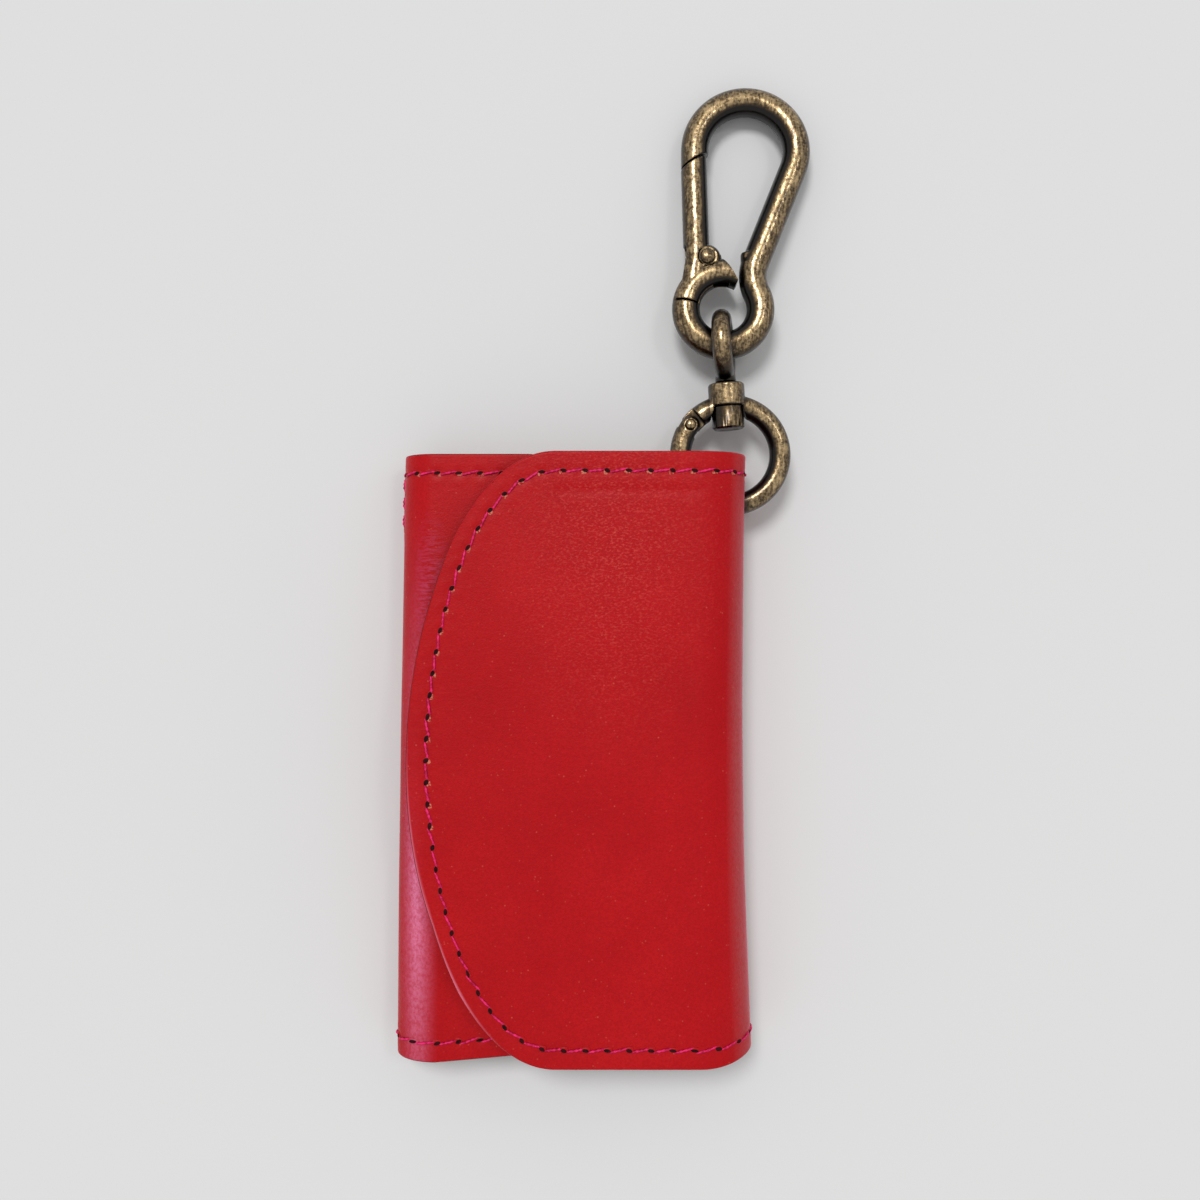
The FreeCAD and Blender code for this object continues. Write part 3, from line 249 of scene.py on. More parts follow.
# node materials
class Finish:
    """A material with one principled shader, and short ways to add nodes to it."""

    def __init__(self, name):
        self.material = bpy.data.materials.new(name)
        self.material.use_nodes = True
        self.tree = self.material.node_tree
        self.shader = self.tree.nodes["Principled BSDF"]
        self.place = self.node("ShaderNodeTexCoord").outputs["Object"]

    def node(self, kind, links=(), **settings):
        made = self.tree.nodes.new(kind)
        for key, value in settings.items():
            setattr(made, key, value)
        for socket, source in links:
            self.put(made.inputs[socket], source)
        return made

    def put(self, socket, source):
        """A constant on a socket, or a link to it."""
        if isinstance(source, bpy.types.NodeSocket):
            self.tree.links.new(source, socket)
        else:
            socket.default_value = source

    def stretched(self, scale):
        """The piece's own place, stretched along its axes."""
        return self.node("ShaderNodeMapping", [("Vector", self.place), ("Scale", scale)]).outputs["Vector"]

    def noise(self, scale, detail=3.0, rough=0.5, place=None, twist=0.0):
        links = [("Vector", place or self.place), ("Scale", scale), ("Detail", detail),
                 ("Roughness", rough), ("Distortion", twist)]
        return self.node("ShaderNodeTexNoise", links).outputs["Fac"]

    def cells(self, scale):
        links = [("Vector", self.place), ("Scale", scale)]
        return self.node("ShaderNodeTexVoronoi", links).outputs["Distance"]

    def attribute(self, name):
        return self.node("ShaderNodeAttribute", attribute_name=name).outputs["Fac"]

    def openness(self, reach):
        """One in the open, less in a nook narrower than a reach."""
        links = [("Distance", reach)]
        return self.node("ShaderNodeAmbientOcclusion", links, samples=8, only_local=False).outputs["AO"]

    def around(self, spot, size, falloff="SPHERICAL"):
        """One at a spot of the piece, falling to nothing at a size round it."""
        links = [("Vector", self.place), ("Location", spot), ("Scale", size)]
        near = self.node("ShaderNodeMapping", links, vector_type="TEXTURE").outputs["Vector"]
        return self.node("ShaderNodeTexGradient", [("Vector", near)], gradient_type=falloff).outputs["Fac"]

    def steps(self, source, *stops):
        """A value turned into a tone by (place, tone) stops."""
        ramp = self.node("ShaderNodeValToRGB", [("Fac", source)])
        entries = ramp.color_ramp.elements
        while len(entries) < len(stops):
            entries.new(0.5)
        for entry, (at, tone) in zip(entries, stops):
            entry.position = at
            entry.color = tone if isinstance(tone, tuple) else colour(tone, tone, tone)
        return ramp.outputs["Color"]

    def mix(self, share, first, second, blend="MIX"):
        made = self.node("ShaderNodeMix", data_type="RGBA", blend_type=blend)
        for index, source in ((0, share), (6, first), (7, second)):
            self.put(made.inputs[index], source)
        return made.outputs[2]

    def maths(self, operation, first, second):
        return self.node("ShaderNodeMath", [(0, first), (1, second)], operation=operation).outputs[0]

    def times(self, first, second):
        return self.maths("MULTIPLY", first, second)

    def relief(self, height, depth, under=None):
        """A bump of a depth in metres, over another one."""
        links = [("Height", height), ("Strength", 1.0), ("Distance", depth)]
        if under is not None:
            links.append(("Normal", under))
        return self.node("ShaderNodeBump", links).outputs["Normal"]

    def set(self, **sockets):
        for socket, source in sockets.items():
            self.put(self.shader.inputs[socket.replace("_", " ")], source)
        return self.material


def colour(red, green, blue):
    return (red, green, blue, 1.0)


def grain_with_painted_glints(finish):
    """Clouded red with dark pores, pale flecks painted as glints of the grain, and sparkling highlights
    painted where the light falls.
    """
    cloud = finish.noise(55.0, 4.0, 0.6)
    tone = finish.steps(cloud, (0.3, colour(0.405, 0.0034, 0.0064)), (0.7, colour(0.475, 0.006, 0.009)))
    pores = finish.steps(finish.noise(2600.0, 3.0, 0.6), (0.42, 0.35), (0.56, 0.0))
    tone = finish.mix(pores, tone, colour(0.3, 0.002, 0.005))
    # pale flecks: glints of the grain, painted into the colour
    dots = finish.steps(finish.cells(1250.0), (0.1, 1.0), (0.24, 0.0))
    patchy = finish.steps(finish.noise(620.0, 3.0, 0.7), (0.53, 0.0), (0.68, 0.5))
    tone = finish.mix(finish.times(dots, patchy), tone, colour(0.66, 0.13, 0.09))
    # sparkling highlights painted on the front flap's grain, where the light falls
    sparkle = finish.noise(2300.0, 2.0, 0.6, finish.stretched((0.8, 1.3, 1.0)), 0.3)
    sparkle = finish.steps(sparkle, (0.5, 0.0), (0.68, 0.62))
    painted_shine = finish.times(sparkle, finish.around(PAINTED_SHINE_SPOT, PAINTED_SHINE_SIZE))
    return finish.mix(painted_shine, tone, colour(0.64, 0.07, 0.06))


def painted_fold_highlights(finish, tone):
    """Pink highlights painted along the folds, and a pale highlight painted on the rim of the front flap's
    curve.
    """
    grain = finish.noise(2000.0, 3.0, 0.65, finish.stretched((1.0, 0.7, 1.0)))
    grain = finish.steps(grain, (0.36, 0.5), (0.62, 1.0))
    right_highlight = finish.steps(finish.around(*RIGHT_FOLD_HIGHLIGHT), (0.02, 0.0), (0.5, 0.5))
    left_highlight = finish.around(*LEFT_FOLD_HIGHLIGHT, "QUADRATIC_SPHERE")
    # pink highlights painted along both folds
    for highlight, brightened in ((right_highlight, colour(0.42, 0.1, 0.11)), (left_highlight, colour(0.82, 0.24, 0.42))):
        tone = finish.mix(finish.times(highlight, grain), tone, brightened)
    # pale highlight painted on the rim of the front flap's curve
    rim = finish.steps(finish.attribute(PAINTED_RIM_HIGHLIGHT), (0.1, 0.0), (0.7, 0.8))
    return finish.mix(rim, tone, colour(0.7, 0.17, 0.25))


def polished_leather():
    """Dyed leather, wrinkled on the left flap; highlights painted on those wrinkles and on the folds, shade
    painted in nooks; pink at a low angle.
    """
    finish = Finish("red_leather")
    ridges = finish.noise(1500.0, 3.0, 0.6, finish.stretched((0.35, 1.5, 1.0)), 0.2)
    ridges = finish.steps(ridges, (0.4, 0.0), (0.6, 1.0))
    wrinkles = finish.times(ridges, finish.around(WRINKLE_SPOT, WRINKLE_SIZE))
    # pink highlights painted on the left flap's wrinkles
    tone = finish.mix(finish.times(wrinkles, 0.75), grain_with_painted_glints(finish), colour(0.5, 0.05, 0.12))
    tone = painted_fold_highlights(finish, tone)
    # painted shade in nooks, such as beside the front flap's edge
    shade = finish.steps(finish.openness(LEATHER_SHADE_REACH), (0.3, 0.45), (0.85, 1.0))
    tone = finish.mix(1.0, tone, shade, "MULTIPLY")
    grain = finish.relief(finish.cells(3400.0), 0.022 * MM)
    creases = finish.noise(620.0, 4.0, 0.6, finish.stretched((1.0, 2.2, 1.0)), 0.3)
    grain = finish.relief(creases, 0.04 * MM, grain)
    grain = finish.relief(wrinkles, 0.06 * MM, grain)
    gloss = finish.steps(finish.noise(160.0, 4.0, 0.6), (0.3, 0.38), (0.7, 0.5))
    return finish.set(Base_Color=tone, Roughness=gloss, Normal=grain, Specular_IOR_Level=0.1,
                      Coat_Weight=0.02, Coat_Roughness=0.2, Sheen_Weight=0.5, Sheen_Roughness=0.3,
                      Sheen_Tint=colour(1.0, 0.32, 0.42))


def lining_leather():
    """Matt leather with a short nap."""
    finish = Finish("lining_leather")
    cloud = finish.noise(120.0, 4.0, 0.6)
    tone = finish.steps(cloud, (0.3, colour(0.25, 0.012, 0.014)), (0.7, colour(0.34, 0.018, 0.02)))
    nap = finish.relief(finish.noise(1800.0, 4.0, 0.7), 0.12 * MM)
    return finish.set(Base_Color=tone, Roughness=0.78, Normal=nap, Specular_IOR_Level=0.3, Sheen_Weight=0.15)


def edge_paint():
    """Dark paint on cut leather, with its layers showing through."""
    finish = Finish("painted_edge")
    cloud = finish.noise(300.0, 3.0)
    tone = finish.steps(cloud, (0.35, colour(0.15, 0.006, 0.01)), (0.7, colour(0.26, 0.012, 0.018)))
    layers = finish.relief(finish.noise(900.0, 3.0, 0.6, finish.stretched((1.0, 1.0, 3.0))), 0.1 * MM)
    return finish.set(Base_Color=tone, Roughness=0.6, Normal=layers, Specular_IOR_Level=0.12)


def pink_thread():
    finish = Finish("pink_thread")
    shreds = finish.noise(1700.0, 2.0)
    tone = finish.steps(shreds, (0.36, colour(0.4, 0.003, 0.055)), (0.6, colour(0.86, 0.022, 0.17)))
    fibre = finish.relief(finish.noise(5200.0, 2.0), 0.04 * MM)
    return finish.set(Base_Color=tone, Roughness=0.6, Normal=fibre, Specular_IOR_Level=0.2)


def needle_hole():
    # painted shade: each needle hole is dark all over
    finish = Finish("needle_hole")
    cloud = finish.noise(1200.0, 2.0)
    tone = finish.steps(cloud, (0.3, colour(0.012, 0.003, 0.004)), (0.7, colour(0.05, 0.006, 0.008)))
    return finish.set(Base_Color=tone, Roughness=0.9, Specular_IOR_Level=0.1)


def pucker_highlight():
    # a pale highlight painted on the tongue of leather beside each needle hole
    finish = Finish("pucker_highlight")
    flecks = finish.noise(2500.0, 2.0)
    tone = finish.steps(flecks, (0.42, colour(0.42, 0.012, 0.015)), (0.6, colour(0.62, 0.2, 0.13)))
    return finish.set(Base_Color=tone, Roughness=0.6, Specular_IOR_Level=0.1)


def antique_brass():
    """Dark patina left in nooks; shade painted on upright sides, inside the loops, by the collar and low on
    the eye; rubbed bright on the crests.
    """
    finish = Finish("antique_brass")
    facing = finish.node("ShaderNodeTexCoord").outputs["Normal"]
    upright = finish.node("ShaderNodeSeparateXYZ", [("Vector", facing)]).outputs["Z"]
    # brighter where the surface faces up or down: part rubbed crests, part painted shade on the upright sides
    crest_and_upright_shade = finish.steps(finish.maths("ABSOLUTE", upright, 0.0), (0.12, 0.06), (0.92, 1.0))
    # painted shade inside the loops, beside the collar, low on the eye and across the button
    clear_of_painted_shade = finish.steps(finish.attribute(PAINTED_SHADE), (0.3, 1.0), (0.58, 0.0))
    mottle = finish.steps(finish.noise(1900.0, 5.0, 0.7), (0.4, 0.0), (0.62, 1.0))
    streaks = finish.noise(2100.0, 3.0, 0.6, finish.stretched((1.0, 0.22, 1.0)))
    streaks = finish.steps(streaks, (0.4, 0.0), (0.64, 1.0))
    patches = finish.steps(finish.noise(230.0, 3.0, 0.6), (0.35, 0.62), (0.65, 1.0))
    wear_and_shade = finish.maths("ADD", finish.times(mottle, 0.5), finish.times(streaks, 0.5))
    wear_and_shade = finish.maths("ADD", finish.times(wear_and_shade, 0.8), 0.2)
    wear_and_shade = finish.times(finish.times(wear_and_shade, patches), clear_of_painted_shade)
    nook = finish.steps(finish.openness(BRASS_NOOK), (0.4, 0.0), (0.92, 1.0))
    brightened = finish.times(finish.times(wear_and_shade, crest_and_upright_shade), nook)
    tone = finish.steps(brightened, (0.02, colour(0.009, 0.007, 0.006)), (0.28, colour(0.074, 0.046, 0.019)),
                        (0.78, colour(0.53, 0.38, 0.2)))
    rough = finish.steps(brightened, (0.1, 0.38), (0.7, 0.22))
    dents = finish.relief(finish.noise(900.0, 4.0, 0.6), 0.03 * MM)
    return finish.set(Base_Color=tone, Metallic=1.0, Roughness=rough, Normal=dents, Coat_Weight=0.5,
                      Coat_Roughness=0.16)


def spring_steel():
    finish = Finish("spring_steel")
    lines = finish.noise(2600.0, 3.0, 0.6, finish.stretched((1.0, 0.08, 1.0)))
    tone = finish.steps(lines, (0.3, colour(0.34, 0.34, 0.35)), (0.7, colour(0.6, 0.6, 0.61)))
    return finish.set(Base_Color=tone, Metallic=1.0, Roughness=0.35)


RED, SUEDE, PAINT = polished_leather(), lining_leather(), edge_paint()
THREAD_PINK, HOLE_SHADE, PUCKER_HIGHLIGHT = pink_thread(), needle_hole(), pucker_highlight()
BRASS, STEEL = antique_brass(), spring_steel()


# places on the leather: s is the way round the outside from the back's edge, negative on the back
def right_place(s, y, out):
    """A point of the right side: back, round fold, front flap."""
    if s < 0:
        return Vector((RIGHT_X + s, y, -out))
    if s < math.pi * RIGHT_FOLD:
        angle = s / RIGHT_FOLD - math.pi / 2
        reach = RIGHT_FOLD + out
        return Vector((RIGHT_X + reach * math.cos(angle), y, RIGHT_FOLD + reach * math.sin(angle)))
    return Vector((RIGHT_X - (s - math.pi * RIGHT_FOLD), y, 2 * RIGHT_FOLD + out))


def left_place(s, y, out):
    """A point of the left side: back, round fold, left flap."""
    if s < 0:
        return Vector((LEFT_X - s, y, -out))
    if s < math.pi * LEFT_FOLD:
        angle = s / LEFT_FOLD - math.pi / 2
        reach = LEFT_FOLD + out
        return Vector((LEFT_X - reach * math.cos(angle), y, LEFT_FOLD + reach * math.sin(angle)))
    return Vector((LEFT_X + (s - math.pi * LEFT_FOLD), y, 2 * LEFT_FOLD + out))


def spread(corners, count):
    """Points at even steps along a line of many short runs, from its start to its end."""
    lengths = [math.dist(a, b) for a, b in zip(corners, corners[1:])]
    step = sum(lengths) / count
    points, travelled, run = [], 0.0, 0
    for index in range(count + 1):
        while run < len(lengths) - 1 and index * step > travelled + lengths[run]:
            travelled += lengths[run]
            run += 1
        share = min(1.0, (index * step - travelled) / lengths[run])
        start, end = corners[run], corners[run + 1]
        points.append((start[0] + (end[0] - start[0]) * share, start[1] + (end[1] - start[1]) * share))
    return points


def oval_arc(centre, reach, height, low, high, way):
    """Points of an oval, by the angle from +Y towards one side."""
    turns = [math.radians(low + (high - low) * step / ARC_RUNS) for step in range(ARC_RUNS + 1)]
    return [(centre[0] + way * reach * math.sin(turn), centre[1] + height * math.cos(turn)) for turn in turns]


def front_outline():
    """The front flap's top edge with the start of its curve, and the rest of the curve."""
    centre = (CURVE_X, 0.0)
    top = [(RIGHT_X, HALF_HEIGHT)] + oval_arc(centre, CURVE_REACH, HALF_HEIGHT, 0, CURVE_SPLIT, -1)
    return top, oval_arc(centre, CURVE_REACH, HALF_HEIGHT, CURVE_SPLIT, 180 - CURVE_SPLIT, -1)


def left_outline():
    """The left flap's top edge with half its corner, and the free edge with the other halves."""
    low = HALF_HEIGHT - LEFT_CORNER
    upper, lower = (LEFT_EDGE_X - LEFT_CORNER, low), (LEFT_EDGE_X - LEFT_CORNER, -low)
    bend = (LEFT_CORNER, LEFT_CORNER)
    top = [(LEFT_X, HALF_HEIGHT)] + oval_arc(upper, *bend, 0, CORNER_SPLIT, 1)
    side = oval_arc(upper, *bend, CORNER_SPLIT, 90, 1) + oval_arc(lower, *bend, 90, 180 - CORNER_SPLIT, 1)
    return top, side


def fill_outline(outline):
    """Even rows and columns of points between a flap's fold line and its outline."""
    top = spread(outline[0], FLAT_STEPS)
    side = spread(outline[1], ROWS)
    x, points = top[0][0], []
    for column in range(FLAT_STEPS + 1):
        p = column / FLAT_STEPS
        line = []
        for row in range(ROWS + 1):
            v = row / ROWS
            y = HALF_HEIGHT * (1 - 2 * v)
            across = ((1 - p) * x + p * side[row][0], (1 - p) * y + p * side[row][1])
            along = (top[column][0], top[column][1] * (1 - 2 * v))
            ends = [((1 - p) * x + p * side[end][0], (1 - p) * HALF_HEIGHT * way + p * side[end][1])
                    for end, way in ((0, 1), (ROWS, -1))]
            line.append([across[axis] + along[axis] - (1 - v) * ends[0][axis] - v * ends[1][axis]
                         for axis in (0, 1)])
        points.append(line)
    return points


# stitch rows, as points (s, y) at an even pitch
def even_points(corners):
    """Points at the stitch pitch along a line of many short runs."""
    length = sum(math.dist(a, b) for a, b in zip(corners, corners[1:]))
    return spread(corners, round(length / STITCH_PITCH))


def right_row():
    """Top edge, curved edge and bottom edge of the front flap, and both ends of its fold."""
    flat = math.pi * RIGHT_FOLD + RIGHT_X
    rim = HALF_HEIGHT - END_INSET
    corners = [(0.0, rim)]
    for step in range(ROW_CURVE_RUNS + 1):
        angle = math.pi / 2 + math.pi * step / ROW_CURVE_RUNS
        x = CURVE_X + (CURVE_REACH - STITCH_INSET) * math.cos(angle)
        corners.append((flat - x, rim * math.sin(angle)))
    return even_points(corners + [(0.0, -rim)])


def left_row():
    """Top edge, free edge and bottom edge of the left flap, and both ends of its fold."""
    flat = math.pi * LEFT_FOLD - LEFT_X
    rim, edge = HALF_HEIGHT - END_INSET, LEFT_EDGE_X - STITCH_INSET
    bend = LEFT_CORNER - STITCH_INSET
    corners = [(0.0, rim)]
    for way in (1, -1):
        for step in range(ROW_CORNER_RUNS + 1):
            angle = math.pi / 2 * step / ROW_CORNER_RUNS
            turn = angle if way > 0 else math.pi / 2 - angle
            across = flat + edge - bend + bend * math.sin(turn)
            corners.append((across, way * (rim - bend + bend * math.cos(turn))))
    return even_points(corners + [(0.0, -rim)])


def back_rows():
    """Both end rows of the back."""
    rim = HALF_HEIGHT - END_INSET
    return [even_points([(-(RIGHT_X - LEFT_X), y), (0.0, y)]) for y in (rim, -rim)]


def side_row():
    """The short row down the left fold, where the key bar's strip is sewn in."""
    crown = math.pi / 2 * LEFT_FOLD
    return [(crown, SIDE_TOP - SIDE_PITCH * index) for index in range(SIDE_STITCHES + 1)]


SIDE_ROW = side_row()
RIGHT_ROWS, LEFT_ROWS, BACK_ROWS = [right_row()], [left_row(), SIDE_ROW], back_rows()


# stitches: one twisted thread and one hole with three materials, copied along the rows
HOLE_SLOT, LIP_SLOT, PUCKER_SLOT = 0, 1, 2


def twisted_stitch():
    """A thread from hole to hole along X, from 0 to 1: two plies, arched, with its ends sunk."""
    bpy.ops.mesh.primitive_cylinder_add(vertices=STITCH_SIDES, radius=1.0, depth=1.0, end_fill_type="NGON",
                                        location=(0.5, 0.0, 0.0), rotation=(0.0, math.pi / 2, 0.0))
    piece = added("stitch_pattern")
    bpy.ops.object.transform_apply(location=True, rotation=True, scale=True)
    edit("EDGE")
    pick(piece.data.edges, lambda edge: edge_span(piece, edge, X_AXIS) > TOUCH)
    bpy.ops.mesh.subdivide(number_cuts=STITCH_SECTIONS - 1)
    bpy.ops.object.mode_set(mode="OBJECT")
    for vertex in piece.data.vertices:
        along, side, up = vertex.co
        turn = STITCH_TWIST * along
        flat = PLY_FLATNESS * (side * math.cos(turn) + up * math.sin(turn))
        tall = up * math.cos(turn) - side * math.sin(turn)
        side = flat * math.cos(turn) - tall * math.sin(turn)
        up = flat * math.sin(turn) + tall * math.cos(turn)
        arch = 1 - abs(2 * along - 1) ** 3
        slim = STITCH_END + (1 - STITCH_END) * min(1.0, 4 * min(along, 1 - along))
        vertex.co = (along, side * slim, up * slim * STITCH_HEIGHT + STITCH_ARCH * arch - STITCH_SINK)
    return piece


def shape_hole(piece):
    """Draw a round hole to two points, dip its middle and lower its lip, but for the pucker's tongue."""
    past_rim = 1.01
    for vertex in piece.data.vertices:
        reach = math.hypot(vertex.co.x, vertex.co.y)
        point = (abs(vertex.co.x) / reach) ** 2 if reach > TOUCH else 0.0
        off_heading = abs(math.atan2(vertex.co.y, vertex.co.x) - PUCKER_HEADING)
        tongue = reach > past_rim and off_heading < TONGUE_FAN
        length = PUCKER_LENGTH if tongue else 1.0
        vertex.co.x *= (HOLE_BLUNT + HOLE_POINT * point) * length
        vertex.co.y *= HOLE_NARROW * length
        if reach < past_rim:
            vertex.co.z = HOLE_RIM - HOLE_DIP * (1 - reach)
        else:
            vertex.co.z = PUCKER_DROP if tongue else LIP_DROP


def diamond_hole():
    """A small pointed dip, about one unit long each way, with a raised rim and a lip that slopes away."""
    bpy.ops.mesh.primitive_circle_add(vertices=HOLE_SIDES, radius=1.0, fill_type="TRIFAN")
    piece = added("hole_pattern")
    bpy.ops.object.mode_set(mode="EDIT")
    bpy.ops.mesh.select_all(action="SELECT")
    bpy.ops.mesh.region_to_loop()
    bpy.ops.mesh.extrude_edges_move()
    bpy.ops.transform.resize(value=(HOLE_LIP, HOLE_LIP, 1.0))
    bpy.ops.object.mode_set(mode="OBJECT")
    for material in (HOLE_SHADE, RED, PUCKER_HIGHLIGHT):
        piece.data.materials.append(material)
    for face in piece.data.polygons:
        off_heading = abs(math.atan2(face.center.y, face.center.x) - PUCKER_HEADING)
        lip_slot = PUCKER_SLOT if off_heading < PUCKER_FAN else LIP_SLOT
        face.material_index = lip_slot if face.center.length > LIP_START else HOLE_SLOT
    shape_hole(piece)
    return piece


def way_between(start, end):
    """The way from one point of a row to another, one unit long."""
    run = math.dist(start, end)
    return (end[0] - start[0]) / run, (end[1] - start[1]) / run


def stitch_copies(rows, thread, hole):
    """Each copy along the rows: its pattern, its thread's size, its start and its end."""
    copies = []
    for row in rows:
        size = SIDE_THREAD if row is SIDE_ROW else THREAD
        for index, (s, y) in enumerate(row):
            if index + 1 < len(row):
                copies.append((thread, size, row[index], row[index + 1]))
            ahead = way_between(row[max(index - 1, 0)], row[min(index + 1, len(row) - 1)])
            copies.append((hole, size, (s, y), (s + ahead[0], y + ahead[1])))
    return copies


def thread_point(spot, run, size, lean):
    """A point of the thread pattern, drawn out over a run and leaning from side to side."""
    along, side, up = spot
    return along * run, side * size + lean * (1 - 2 * along), up * size


def hole_point(spot, uneven):
    """A point of the hole pattern, turned and sized, and longer or wider as it is uneven."""
    along, side, up = spot
    length, width = HOLE_LENGTH * (1 + HOLE_CHANGE * uneven), HOLE_WIDTH * (1 - HOLE_CHANGE * uneven)
    turned_along = along * math.cos(HOLE_TURN) - side * math.sin(HOLE_TURN)
    turned_side = along * math.sin(HOLE_TURN) + side * math.cos(HOLE_TURN)
    return turned_along * length, turned_side * width, up * width + HOLE_LIFT


def sew(name, rows, place, patterns, depth, flip):
    """Copy the thread and the hole along rows of points, on a face of the leather."""
    thread, hole = patterns
    slant = -STITCH_SLANT if place is left_place else STITCH_SLANT
    made = []
    for pattern, size, start, end in stitch_copies(rows, thread, hole):
        piece = bpy.data.objects.new(name, pattern.data.copy())
        bpy.context.collection.objects.link(piece)
        run, ahead = math.dist(start, end), way_between(start, end)
        uneven = noise.noise(Vector((start[0], start[1], depth)) / UNEVEN_RUN)
        lean = slant * (1 + SLANT_CHANGE * uneven)
        for vertex in piece.data.vertices:
            if pattern is thread:
                along, side, up = thread_point(vertex.co, run, size, lean)
            else:
                along, side, up = hole_point(vertex.co, uneven)
            s = start[0] + ahead[0] * along - ahead[1] * side
            y = start[1] + ahead[1] * along + ahead[0] * side
            vertex.co = place(s, y, up if depth == 0 else -depth - up)
        # no painted pucker highlight on the holes low down
        if pattern is hole and start[1] < PUCKER_END:
            for face in piece.data.polygons:
                face.material_index = min(face.material_index, LIP_SLOT)
        if flip:
            piece.data.flip_normals()
        made.append(piece)
    activate(made[0])
    for piece in made:
        piece.select_set(True)
    bpy.ops.object.join()
    piece = added(name)
    bpy.ops.object.shade_smooth()
    return piece


# leather sheets
def row_heights():
    """The Y of each row of a sheet, from the top down."""
    return [HALF_HEIGHT * (1 - 2 * row / ROWS) for row in range(ROWS + 1)]


def edge_line(name, x, z):
    """A line of points along Y, from which a sheet is spun or drawn out."""
    bpy.ops.mesh.primitive_grid_add(x_subdivisions=1, y_subdivisions=ROWS, size=1.0)
    piece = added(name)
    edit()
    pick(piece.data.vertices, lambda vertex: vertex.co.x > 0)
    bpy.ops.mesh.delete(type="VERT")
    bpy.ops.object.mode_set(mode="OBJECT")
    ordered = sorted(piece.data.vertices, key=lambda vertex: -vertex.co.y)
    for vertex, y in zip(ordered, row_heights()):
        vertex.co = (x, y, z)
    return piece


def draw_out(piece, step, times):
    """Extrude the selected line again and again."""
    for _ in range(times):
        bpy.ops.mesh.extrude_region_move(TRANSFORM_OT_translate={"value": (step, 0.0, 0.0)})
    bpy.ops.object.mode_set(mode="OBJECT")
    return piece


def folded_sheet(name, x, radius, depth, side, outline):
    """One layer of a flap: spun round its fold from the back, drawn out flat, fitted to its outline."""
    piece = edge_line(name, x, depth)
    bpy.ops.object.mode_set(mode="EDIT")
    bpy.ops.mesh.select_all(action="SELECT")
    bpy.ops.mesh.spin(steps=FOLD_STEPS, angle=math.pi, center=(x, 0.0, radius), axis=(0.0, side, 0.0))
    draw_out(piece, -side * COLUMN_STEP, FLAT_STEPS)
    activate(piece)
    points = fill_outline(outline)
    top = 2 * radius - depth
    for vertex in piece.data.vertices:
        if abs(vertex.co.z - top) < TOUCH:
            column = round((x - vertex.co.x) / (side * COLUMN_STEP))
            row = round((1 - vertex.co.y / HALF_HEIGHT) / 2 * ROWS)
            vertex.co.x, vertex.co.y = points[column][row]
    return piece


def flat_sheet(name, depth):
    """One layer of the back between the folds."""
    piece = edge_line(name, LEFT_X, depth)
    bpy.ops.object.mode_set(mode="EDIT")
    bpy.ops.mesh.select_all(action="SELECT")
    return activate(draw_out(piece, (RIGHT_X - LEFT_X) / FLAT_STEPS, FLAT_STEPS))


def face_outwards(piece):
    """Turn the sheet's faces away from the inside of the case."""
    inside = Vector((0.0, 0.0, RIGHT_FOLD))
    lowest = min(piece.data.polygons, key=lambda face: face.center.z)
    if lowest.normal.dot(lowest.center - inside) < 0:
        piece.data.flip_normals()


def point_tree(points):
    """A tree that finds the nearest of many points."""
    tree = KDTree(len(points))
    for index, point in enumerate(points):
        tree.insert(point, index)
    tree.balance()
    return tree


def fading(reach, width):
    """One in the middle of a dip or a swell, fading over a width."""
    return math.exp(-(reach / width) ** 2)


def pull_in(piece, rows, place):
    """Sink the leather under the stitches and at the needle holes."""
    holes, middles = [], []
    for row in rows:
        for start, end in zip(row, row[1:]):
            holes.append(place(start[0], start[1], 0.0))
            middles.append(place((start[0] + end[0]) / 2, (start[1] + end[1]) / 2, 0.0))
        holes.append(place(row[-1][0], row[-1][1], 0.0))
    hole_tree, thread_tree = point_tree(holes), point_tree(middles)
    hole_depth, hole_reach = HOLE_SINK
    thread_depth, thread_reach = THREAD_SINK
    swell_height, swell_reach = HOLE_SWELL
    normals = [vertex.normal.copy() for vertex in piece.data.vertices]
    for vertex, normal in zip(piece.data.vertices, normals):
        to_hole = hole_tree.find(vertex.co)[2]
        to_thread = thread_tree.find(vertex.co)[2]
        sink = hole_depth * fading(to_hole, hole_reach) + thread_depth * fading(to_thread, thread_reach)
        swell = swell_height * fading(to_hole - SWELL_RING, swell_reach)
        wave = WAVE_DEPTH * noise.noise(vertex.co * WAVES_PER_METRE)
        vertex.co += normal * (swell - sink + wave)


def press_line(piece):
    """The faint line that the strip inside has pressed into the front flap."""
    for vertex in piece.data.vertices:
        if vertex.co.z > 2 * RIGHT_FOLD - LEATHER and PRESS_LEFT < vertex.co.x < RIGHT_X:
            vertex.co.z -= PRESS_DEPTH * fading(vertex.co.y - PRESS_Y, PRESS_WIDTH)


def share_of_way(value, start, end):
    """How far a value has come from a start to an end, from 0 to 1."""
    return min(1.0, max(0.0, (value - start) / (end - start)))


def through_three(values, share):
    """A smooth curve through three values, at shares 0, a half and 1."""
    first, middle, last = values
    return first + (last - first) * share - 2 * (first + last - 2 * middle) * share * (1 - share)


def used_x(x, y):
    """Where a point of a fold has gone, pushed outwards as full pockets have done."""
    down = (1 - y / HALF_HEIGHT) / 2
    if x > RIGHT_X:
        return x + through_three(RIGHT_SPREAD, down) * (x - RIGHT_X) / RIGHT_FOLD
    if x < LEFT_X:
        return x - through_three(LEFT_SPREAD, down) * (LEFT_X - x) / LEFT_FOLD
    return x


